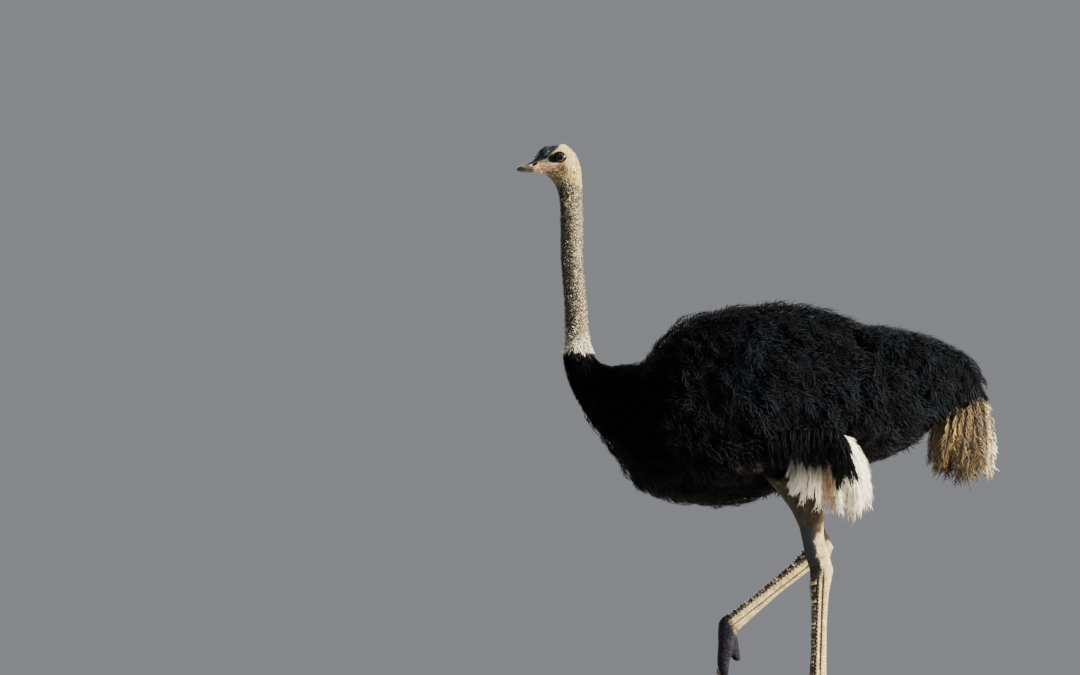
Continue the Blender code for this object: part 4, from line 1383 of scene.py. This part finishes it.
def lid_margin(name, side, count=72, around=8):
    """A thin roll of skin all round the opening, on the ball or on the skin, whichever stands prouder."""
    points = []
    for number in range(count):
        turn = 2 * math.pi * number / count
        gap, skin_depth = lid_edge(turn, side, 0.0015)
        gap += 0.0003
        on_ball = float(ball_at(np.array(gap))) + 0.0006 if gap < EYE_RADIUS else 0.0
        outward_way = Vector((math.cos(turn), 0, math.sin(turn)))
        middle = Vector((EYE.x, side * max(on_ball, skin_depth - 0.0003), EYE.z)) + outward_way * gap
        thick = 0.001 + 0.0003 * math.sin(turn)
        for a in (2 * math.pi * k / around for k in range(around)):
            points.append(middle + outward_way * thick * math.cos(a)
                          + Vector((0, side, 0)) * thick * 0.8 * math.sin(a))
    faces = [(i * around + j, i * around + (j + 1) % around, (i + 1) % count * around + (j + 1) % around,
              (i + 1) % count * around + j) for i in range(count) for j in range(around)]
    return placed(name, mesh_from(name, points, faces, turn_out=True), rim)


lids = {name: lid_margin(f"{name}_lid_margin", side) for name, side in SIDES}

# %% Lashes


def lashes(name, side, count=34):
    """Bristles that leave the upper lid outwards and sweep back."""
    spray, chance = Spray(), random.Random(5)
    for number in range(count):
        turn = math.radians(28 + 128 * number / (count - 1))
        gap, skin_depth = lid_edge(turn, side, 0.0014)
        gap += 0.0004
        depth = max(float(ball_at(np.array(gap))), skin_depth)
        heading = Vector((0.3 * math.cos(turn) + 0.1, side * 1.0, 0.35 * math.sin(turn) - 0.05))
        reach = 0.0068 * chance.uniform(0.75, 1.1)
        path = [Vector((EYE.x + gap * math.cos(turn), side * depth, EYE.z + gap * math.sin(turn)))]
        for k in range(3):
            path.append(path[-1] + heading.normalized() * reach / 3)
            heading += Vector((0.22, 0, -0.3 + 0.1 * k))
        spray.blade(path, 0.0006, 0.0004)
    return placed(name, spray.mesh(name), rim)


lash_pieces = {name: lashes(f"{name}_lashes", side) for name, side in SIDES}

# %% [markdown]
# ## The bill
#
# The bill is broad, flat and blunt, grey-brown horn with a harder nail at its tip. The nostrils are long
# slots half way along, each with a raised lip in front. Both halves are lofted from rays on their solids,
# like the skin, and their roots slip a little under the skin's edge.

# %% Finish of the horn
SLOT_LEAN = 0.35  # how far the nostril's slot rises along its length

horn = Finish("bill_horn", Roughness=0.42, Specular_IOR_Level=0.3)
horn_colour = horn.ramp(horn.speckle(70.0, 4.0, stretch=(0.35, 1, 1)), (0.28, (0.018, 0.018, 0.013)),
                        (0.5, (0.056, 0.055, 0.036)), (0.74, (0.19, 0.18, 0.115)))
from_mouth = horn.z - MOUTH
past_nostril = horn.x - NOSTRIL.x
slot_lean = horn.z - NOSTRIL.z - past_nostril * SLOT_LEAN
# The nostril's slot is painted near black: painted shade inside the recess.
deep_slot = (slot_lean * slot_lean + past_nostril * past_nostril * 0.14).fall(0.000007, 0.000015)
near_root = (horn.x + horn.ragged(200.0, 0.006)).rise(-0.813, -0.805)
low_root = near_root * (horn.z - 1.815 - (horn.x + 0.8) * 0.3).fall(-0.002, 0.002)
at_edge = (horn.x + horn.ragged(200.0, 0.008)).rise(-0.804, -0.795)
# The lower half: near black as painted shade on its downward face, with its own pink at the root.
lower_horn_shade_and_pink = horn.lay((0.02, 0.017, 0.014), ((0.3, 0.155, 0.105), near_root))
horn.paint(horn.lay(
    horn_colour,
    ((0.62, 0.58, 0.46), horn.near(-0.842, 1.8125, 0.016, 0.0032, 0.7) * 0.6),  # painted highlight on the ridge
    ((0.022, 0.023, 0.026), (horn.z - 1.815 - (horn.x + 0.85) * 0.26).rise(-0.001, 0.003) * 0.9),  # top
    ((0.03, 0.028, 0.028), (horn.x + horn.ragged(240.0, 0.004)).fall(-0.856, -0.85)),  # nail
    ((0.05, 0.04, 0.035), (from_mouth * from_mouth).fall(0.000001, 0.000006) * 0.8),  # cutting edge
    # Painted highlight on the lip in front of the nostril.
    ((0.62, 0.57, 0.47), horn.near(NOSTRIL.x - 0.0155, NOSTRIL.z - 0.003, 0.0085, 0.0034, 0.6) * 0.85),
    (NEAR_BLACK, deep_slot),
    (face_colours(horn), low_root + at_edge * (1 - low_root)),
    (NEAR_BLACK, deep_slot),
    (lower_horn_shade_and_pink, horn.z.fall(MOUTH - 0.004, MOUTH - 0.0012) * 0.92)))
horn.relief(horn.speckle(500.0, 4.0, stretch=(0.4, 1, 1)), 0.0006, 0.7)

# %% Loft the two halves


def bill_half(name, way):
    """The upper half of the bill where `way` is 1, the lower where it is -1."""
    target = surface_of(NODES[name].data)
    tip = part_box(name)[0].x + 0.0004
    rows = []
    for x_at in tip + (SKIN_EDGE + 0.014 - tip) * np.linspace(0, 1, 64) ** 1.25:
        edge = MOUTH + way * 0.0002
        hit = target.ray_cast(Vector((x_at, 0, 1.8 + way * 0.2)), Vector((0, 0, -way)))[0]
        far = hit.z if hit else edge + way * 0.002
        rows.append((x_at, max(far, edge), x_at, min(far, edge), 0.05, 0))
    middles, rays_out, distance = rings_on(target, np.array(rows), 96)
    rings = middles + rays_out * blurred(filled(distance), 2.2, 1.4)[..., None]
    x, y, z = rings[..., 0], rings[..., 1], rings[..., 2]
    half = np.abs(y)
    low_side = step(half, 0.004, 0.01)
    if way == 1:
        lean = (z - NOSTRIL.z) - (x - NOSTRIL.x) * SLOT_LEAN
        slot = np.hypot((x - NOSTRIL.x) / 2.6, lean)
        lip = bump(x - NOSTRIL.x + 0.015, 0.006) * bump(lean - 0.001, 0.003)
        nostril = -0.0058 * bump(slot, 0.003) + 0.001 * bump(slot - 0.0052, 0.0016) + 0.0014 * lip
        press = step(half, 0.004, 0.009) * nostril
        press -= 0.0007 * bump(x - tip - 0.0146, 0.0012) * step(z - MOUTH, 0.001, 0.004)  # nail's edge
        press -= 0.0008 * bump(z - MOUTH - 0.0034, 0.001) * low_side
    else:
        press = -0.0006 * bump(z - MOUTH + 0.003, 0.001) * low_side
    slip = 1 - 0.1 * step(x, SKIN_EDGE - 0.001, SKIN_EDGE + 0.006)
    centre_z = rings[..., 2].mean(1, keepdims=True)
    rings = np.stack([x, np.sign(y) * (half + press) * slip, centre_z + (z - centre_z) * slip], -1)
    return placed(f"{name}_horn", mesh_of_rings(f"{name}_horn", rings), horn)


bill = {name: bill_half(name, way) for name, way in (("bill_upper", 1), ("bill_lower", -1))}
print("bill of", [len(b.data.polygons) for b in bill.values()], "faces")

# %% [markdown]
# ## Claws, scutes and the stand
#
# Only the big inner toe has a claw. The solid is right but faceted, so a finer one is grown from it. Down
# the front of each shank runs a single row of broad horny scutes, each lapping over the next; they are one
# curved plate, stood by Geometry Nodes on points along the bone.

# %% Finer claws
nail = Finish("claw_horn", Roughness=0.35)
streak = nail.speckle(120.0, 4.0, stretch=(0.4, 1, 1))
nail.paint(nail.ramp(streak, (0.3, (0.03, 0.026, 0.024)), (0.6, (0.085, 0.075, 0.068)),
                     (0.85, (0.17, 0.15, 0.13))))
nail.relief(streak, 0.0008, 0.6)


def finer(name, node_name):
    made = merged_copy(name, node_name)
    modify(made, "SUBSURF", levels=2, render_levels=2)
    settled(made)
    made.data.shade_smooth()
    made.data.materials.append(nail.material)
    return made


claws = {side: finer(f"{side}_claw_horn", f"{side}_claw") for side, _ in SIDES}

# %% One scute


def scute(name, seed, wide=10, tall=4):
    """A plate that wraps the front of the bone. It runs down along +X and stands out along +Z."""
    points, faces = [], []
    for layer in (1, 0):
        for i in range(tall + 1):
            for j in range(wide + 1):
                u, v = i / tall, 2 * j / wide - 1
                lift = (0.1 * u**1.5 + 0.05) * (1 - abs(v) ** 5) * layer - 0.05 * (1 - layer)
                end = 1 - 0.35 * abs(v) ** 3 + 0.04 * math.sin(5 * v + seed)
                radius, angle = 1 + lift, v * 1.3
                points.append((u * 0.78 * end, radius * math.sin(angle), radius * math.cos(angle) - 1))
    row, back_of = wide + 1, (tall + 1) * (wide + 1)
    for i in range(tall):
        for a in range(i * row, i * row + wide):
            b = a + back_of
            faces += [(a, a + row, a + row + 1, a + 1), (b, b + 1, b + row + 1, b + row)]
    border = ([(0, j) for j in range(wide)] + [(i, wide) for i in range(tall)]
              + [(tall, j) for j in range(wide, 0, -1)] + [(i, 0) for i in range(tall, 0, -1)])
    for (i0, j0), (i1, j1) in zip(border, border[1:] + border[:1]):
        a, b = i0 * row + j0, i1 * row + j1
        faces.append((a, b, b + back_of, a + back_of))
    mesh = mesh_from(name, points, faces, turn_out=True)
    keep(mesh, "along", [p[0] for p in points])
    keep_leaf(mesh, np.clip([(p[0], p[1] * 0.5 + 0.5) for p in points], 0, 1))
    return mesh


scutes = shelf_of("scutes", [scute(f"scute_{number}", number) for number in range(3)])
plate = Finish("scute_horn", place="root_place", Roughness=0.42, Specular_IOR_Level=0.25)
down_plate = plate.attribute("along")
plate.paint(plate.lay(
    plate.ramp(plate.attribute("chance"), (0.0, (0.06, 0.046, 0.046)), (0.5, (0.13, 0.105, 0.09)),
               (1.0, (0.3, 0.255, 0.195))),
    ((0.01, 0.0075, 0.012), (1 - down_plate.rise(0.18, 0.44) * down_plate.fall(0.62, 0.76)) * 0.9)))

# %% Rows of scutes down the shanks


def stand(name, places, unwraps, *rest, **more):
    """A coat piece on chosen points, each given as (place, lie, out, size)."""
    mesh = mesh_from(f"{name}_points", [place for place, *_ in places], [])
    for key, values in zip(("lie", "out"), list(zip(*places))[1:3]):
        keep(mesh, key, np.array([tuple(way) for way in values]), "FLOAT_VECTOR")
    keep(mesh, "size", [size for *_, size in places])
    keep(mesh, "unwrap", [(*spot, 0) for spot in unwraps], "FLOAT_VECTOR")
    return grown(name, mesh, chosen, *rest, **more)


def row_of_scutes(side):
    top, down, ahead, across, length = SHANKS[side]
    places, at = [], 0.046
    while at < length - 0.024:
        bone = top + down * at
        hit = skin_tree.ray_cast(bone + ahead * 0.05, -ahead, 0.15)[0]
        if hit is not None:
            edge = skin_tree.ray_cast(bone + ahead * 0.004 + across * 0.12, -across, 0.15)[0]
            half = abs((edge - bone).dot(across)) if edge is not None else 0.02
            places.append((hit - ahead * 0.0006, down, ahead, half * 0.98))
        at += SCUTE_PITCH * (0.92 + 0.16 * math.sin(at * 91) ** 2)
    unwraps = [(0.1 + 0.8 * k / len(places), 0.3 if side == "left" else 0.7) for k in range(len(places))]
    return stand(f"{side}_shank_scutes", places, unwraps, plate, scutes, 71, 0.03, 0.02, unevenness=0.03)


scute_rows = {side: row_of_scutes(side) for side, _ in SIDES}

# %% The stand's wood
wood = Finish("stand_wood_stained", Roughness=0.38, Coat_Weight=0.25, Coat_Roughness=0.2)
rings = wood.add("ShaderNodeTexWave", {"wave_type": "BANDS", "bands_direction": "Y"}, {
    "Vector": wood.place, "Scale": 9.0, "Distortion": 5.0, "Detail": 3.0, "Detail Scale": 1.2})
rings = Wire(rings.outputs["Fac"])
fibre = wood.speckle(45.0, 4.0, stretch=(0.05, 1, 1))
wood.paint(wood.ramp(rings * 0.6 + fibre * 0.4, (0.2, (0.06, 0.036, 0.022)), (0.6, (0.088, 0.053, 0.032)),
                     (0.9, (0.125, 0.077, 0.047))))
wood.relief(fibre, 0.0005, 0.4)
for slot in NODES["stand_base"].material_slots:
    slot.material = wood.material

# %% [markdown]
# ## White quills and tail plumes
#
# The white plumes are the bird's old flight feathers, long soft vanes that hang from under the wing. They
# are real big plumes, not a scatter: each one is stood on its own point with its own direction, so that
# together they fill the solid they replace. The tail is made the same way, in a rounder, shorter bunch.

# %% Kinds of big plumes
QUILL_LENGTH, TIP_LENGTH = 0.2, 0.11
QUILL = {"length": QUILL_LENGTH, "barbs": 110, "width": 0.0023, "spread": 0.8, "curl": 0.6,
         "barb_length": 0.22, "shaft_share": 0.97, "blunt": 0.6}
wing_quills = kinds("wing_quills", 5, **QUILL)
rear_quills = {side: kinds(f"rear_quills_{side}", 3, bow=sign * -0.085, **QUILL) for side, sign in SIDES}
tail_quills = kinds("tail_quills", 6, **{**QUILL, "barbs": 84, "width": 0.0028, "rise": 0.03, "spread": 1.1,
                                         "curl": 0.95, "barb_length": 0.2, "blunt": 0.9})
wing_tips = kinds("wing_tips", 4, length=TIP_LENGTH, barbs=34, width=0.0036, rise=0.012, spread=0.45,
                  curl=0.3, barb_length=0.4, shaft_share=0.85)

# %% A bunch of plumes from a line of roots to a line of tips


def scattered(count):
    """Places on the unwrap for plumes that stand on no ground."""
    return [(0.05 + 0.9 * k / count, 0.15 + 0.7 * (k * 0.618 % 1)) for k in range(count)]


def line_at(line, t):
    return Vector(curve_at(np.array(line), t * (len(line) - 1)))


def bunch(name, shelf, finish, ends, layers, seed, length, turn, tilt, face=None):
    """Plumes in layers (depth, how many, how long), from the inside out."""
    chance = random.Random(seed)
    roots, tips = zip(*ends)
    places = []
    for depth, count, reach in layers:
        for k in range(count):
            t = (k + chance.uniform(0.2, 0.8)) / count
            root = line_at(roots, t)
            way = (line_at(tips, t) - root) * reach
            side = face or Vector((0, math.copysign(1, root.y), 0))
            out_way = (side + Vector((way.x, 0, way.z)).normalized() * 0.1).normalized()
            places.append((root + side * depth, way.normalized(), out_way, way.length / length))
    return stand(name, places, scattered(len(places)), finish, shelf, seed, turn, tilt, unevenness=0.08)


def pairs(sign, *ends):
    """Pairs of root and tip on one side, from the six numbers of both."""
    return [((x0, sign * y0, z0), (x1, sign * y1, z1)) for x0, y0, z0, x1, y1, z1 in ends]


# %% White quills of the wings, and the black plumes that hang over them
FRONT_LAYERS = ((-0.02, 8, 0.94), (-0.005, 10, 1.0), (0.006, 9, 0.9), (0.012, 7, 0.76))
REAR_LAYERS = ((-0.02, 5, 0.94), (-0.005, 7, 1.0), (0.006, 6, 0.92), (0.012, 4, 0.76))
TIP_LAYERS = {"left": ((-0.012, 30, 0.95), (0.0, 32, 1.0), (0.004, 22, 0.85)),
              "right": ((-0.012, 18, 0.95), (0.0, 18, 1.0))}
front_pieces, rear_pieces, cover_pieces = [], [], []
for name, sign in SIDES:
    front = pairs(sign, (0.04, 0.236, 0.89, 0.03, 0.226, 0.756), (0.072, 0.236, 0.898, 0.074, 0.226, 0.715),
                  (0.115, 0.236, 0.895, 0.145, 0.226, 0.7), (0.165, 0.236, 0.89, 0.218, 0.226, 0.665))
    rear = pairs(sign, (0.184, 0.236, 0.925, 0.231, 0.226, 0.662), (0.187, 0.236, 0.929, 0.256, 0.226, 0.66),
                 (0.19, 0.236, 0.933, 0.28, 0.226, 0.677), (0.192, 0.236, 0.937, 0.298, 0.226, 0.722))
    over = pairs(sign, (-0.06, 0.271, 0.94, -0.034, 0.268, 0.835), (0.02, 0.271, 0.95, 0.042, 0.268, 0.838),
                 (0.09, 0.271, 0.955, 0.103, 0.268, 0.826), (0.15, 0.271, 0.96, 0.159, 0.268, 0.815),
                 (0.18, 0.271, 0.955, 0.198, 0.268, 0.781), (0.192, 0.271, 0.93, 0.222, 0.268, 0.765))
    front_pieces.append(bunch(f"{name}_front_quills", wing_quills, snow, front, FRONT_LAYERS, 81,
                              QUILL_LENGTH, 0.22, 0.08))
    rear_pieces.append(bunch(f"{name}_rear_quills", rear_quills[name], snow, rear, REAR_LAYERS, 83,
                             QUILL_LENGTH, 0.06, 0.06))
    cover_pieces.append(bunch(f"{name}_wing_tips", wing_tips, plumage, over, TIP_LAYERS[name], 87,
                              TIP_LENGTH, 0.22, 0.06))

# %% Tail plumes
TAIL_LAYERS = ((0.0, 9, 1.0), (0.018, 8, 0.94), (0.03, 7, 0.82), (-0.02, 5, 0.9), (0.034, 4, 0.6))
BACK_LAYERS = ((-0.03, 5, 1.0), (-0.01, 7, 0.97), (0.004, 6, 0.8))
NEAR_AND_FAR = (("near", -1), ("far", 1))
tail_pieces = []
for label, sign in NEAR_AND_FAR:
    tail = pairs(sign, (0.512, 0.03, 1.0, 0.504, 0.07, 0.82), (0.576, 0.05, 1.036, 0.558, 0.085, 0.768),
                 (0.632, 0.045, 1.055, 0.624, 0.078, 0.757), (0.664, 0.015, 1.05, 0.676, 0.03, 0.8))
    tail_pieces.append(bunch(f"{label}_tail_plumes", tail_quills, dust_and_painted_light, tail, TAIL_LAYERS, 91,
                             QUILL_LENGTH, 0.16, 0.08))
tail = pairs(1, (0.646, -0.042, 1.035, 0.662, -0.062, 0.8), (0.652, 0.0, 1.045, 0.672, 0.0, 0.782),
             (0.646, 0.042, 1.035, 0.662, 0.062, 0.8))
tail_pieces.append(bunch("rear_tail_plumes", tail_quills, dust_and_painted_light, tail, BACK_LAYERS, 92, QUILL_LENGTH,
                         0.16, 0.08, Vector((1, 0, 0))))

# %% Bristles that stand on the forehead and the root of the bill
BRISTLE_COUNT = 190
bill_tree = surface_of(bill["bill_upper"].data)
chance = random.Random(97)
places = []
while len(places) < BRISTLE_COUNT:
    x_at, y_at = chance.uniform(-0.812, -0.762), chance.gauss(0, 0.0075)
    above = Vector((x_at, y_at, 1.95))
    hits = [tree.ray_cast(above, Vector((0, 0, -1)), 0.2)[0] for tree in (skin_tree, bill_tree)]
    top = max((hit.z for hit in hits if hit is not None), default=None)
    if top is None or abs(y_at) > 0.017:
        continue
    lie_way = (chance.uniform(0.15, 0.75), 12 * y_at + chance.uniform(-0.2, 0.2), 1.0)
    out_way = (-1.0, chance.uniform(-0.3, 0.3), 0.3)
    size = float(np.interp(x_at, [-0.812, -0.8, -0.788, -0.775, -0.762], [0.35, 0.85, 1.55, 1.35, 0.9]))
    places.append(((x_at, y_at, top - 0.0006), lie_way, out_way, size * chance.uniform(0.7, 1.1)))
bristles = stand("forehead_bristles", places, scattered(len(places)), down, head_hairs, 97, 0.3, 0.1,
                 unevenness=0.1)

# %% A skirt of black plumes over the roots of the tail
COVER_LAYERS = ((-0.01, 16, 0.9), (0.0, 18, 1.0), (0.008, 14, 0.9))
for label, sign in NEAR_AND_FAR:
    cover = pairs(sign, (0.43, 0.11, 1.0, 0.47, 0.11, 0.95), (0.5, 0.105, 1.045, 0.535, 0.11, 0.982),
                  (0.56, 0.095, 1.075, 0.595, 0.1, 0.99), (0.62, 0.07, 1.1, 0.65, 0.075, 1.0),
                  (0.64, 0.02, 1.11, 0.668, 0.022, 1.04))
    cover_pieces.append(bunch(f"{label}_tail_cover", wing_tips, plumage, cover, COVER_LAYERS, 93,
                              TIP_LENGTH, 0.25, 0.1))

# %% [markdown]
# ## Hand the pieces to the frame
#
# The bird is still, so every piece rides on the one body, `root`. A piece that shows what a solid stood for
# replaces that solid.

# %% Ride and replace


def hand_over(slot, pieces, *nodes):
    """Puts the pieces on the root and hides the nodes they replace."""
    for piece in pieces:
        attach(piece, "root")
    if nodes:
        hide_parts(*nodes)


hand_over("leg_skin", [skin], *FLESH_NODES, *(f"{side}_{part}" for side, _ in SIDES for part in LEG_PARTS))
hand_over("black_plumage", [*black_pieces, *cover_pieces, *lash_pieces.values()])
hand_over("neck_down", [neck_down, head_hair, bristles])
hand_over("head_down", [*lids.values()])
hand_over("leg_skin", [*scute_rows.values()])
hand_over("white_quills", rear_pieces)
hand_over("tail_plumes", tail_pieces, "tail")
for name, piece in bill.items():
    hand_over("bill_horn", [piece], name)
for (side, _), piece in zip(SIDES, front_pieces):
    hand_over("white_quills", [piece], f"{side}_quills")
    hand_over("eye", [eyes[side]], f"{side}_eye")
    hand_over("claw_horn", [claws[side]], f"{side}_claw")
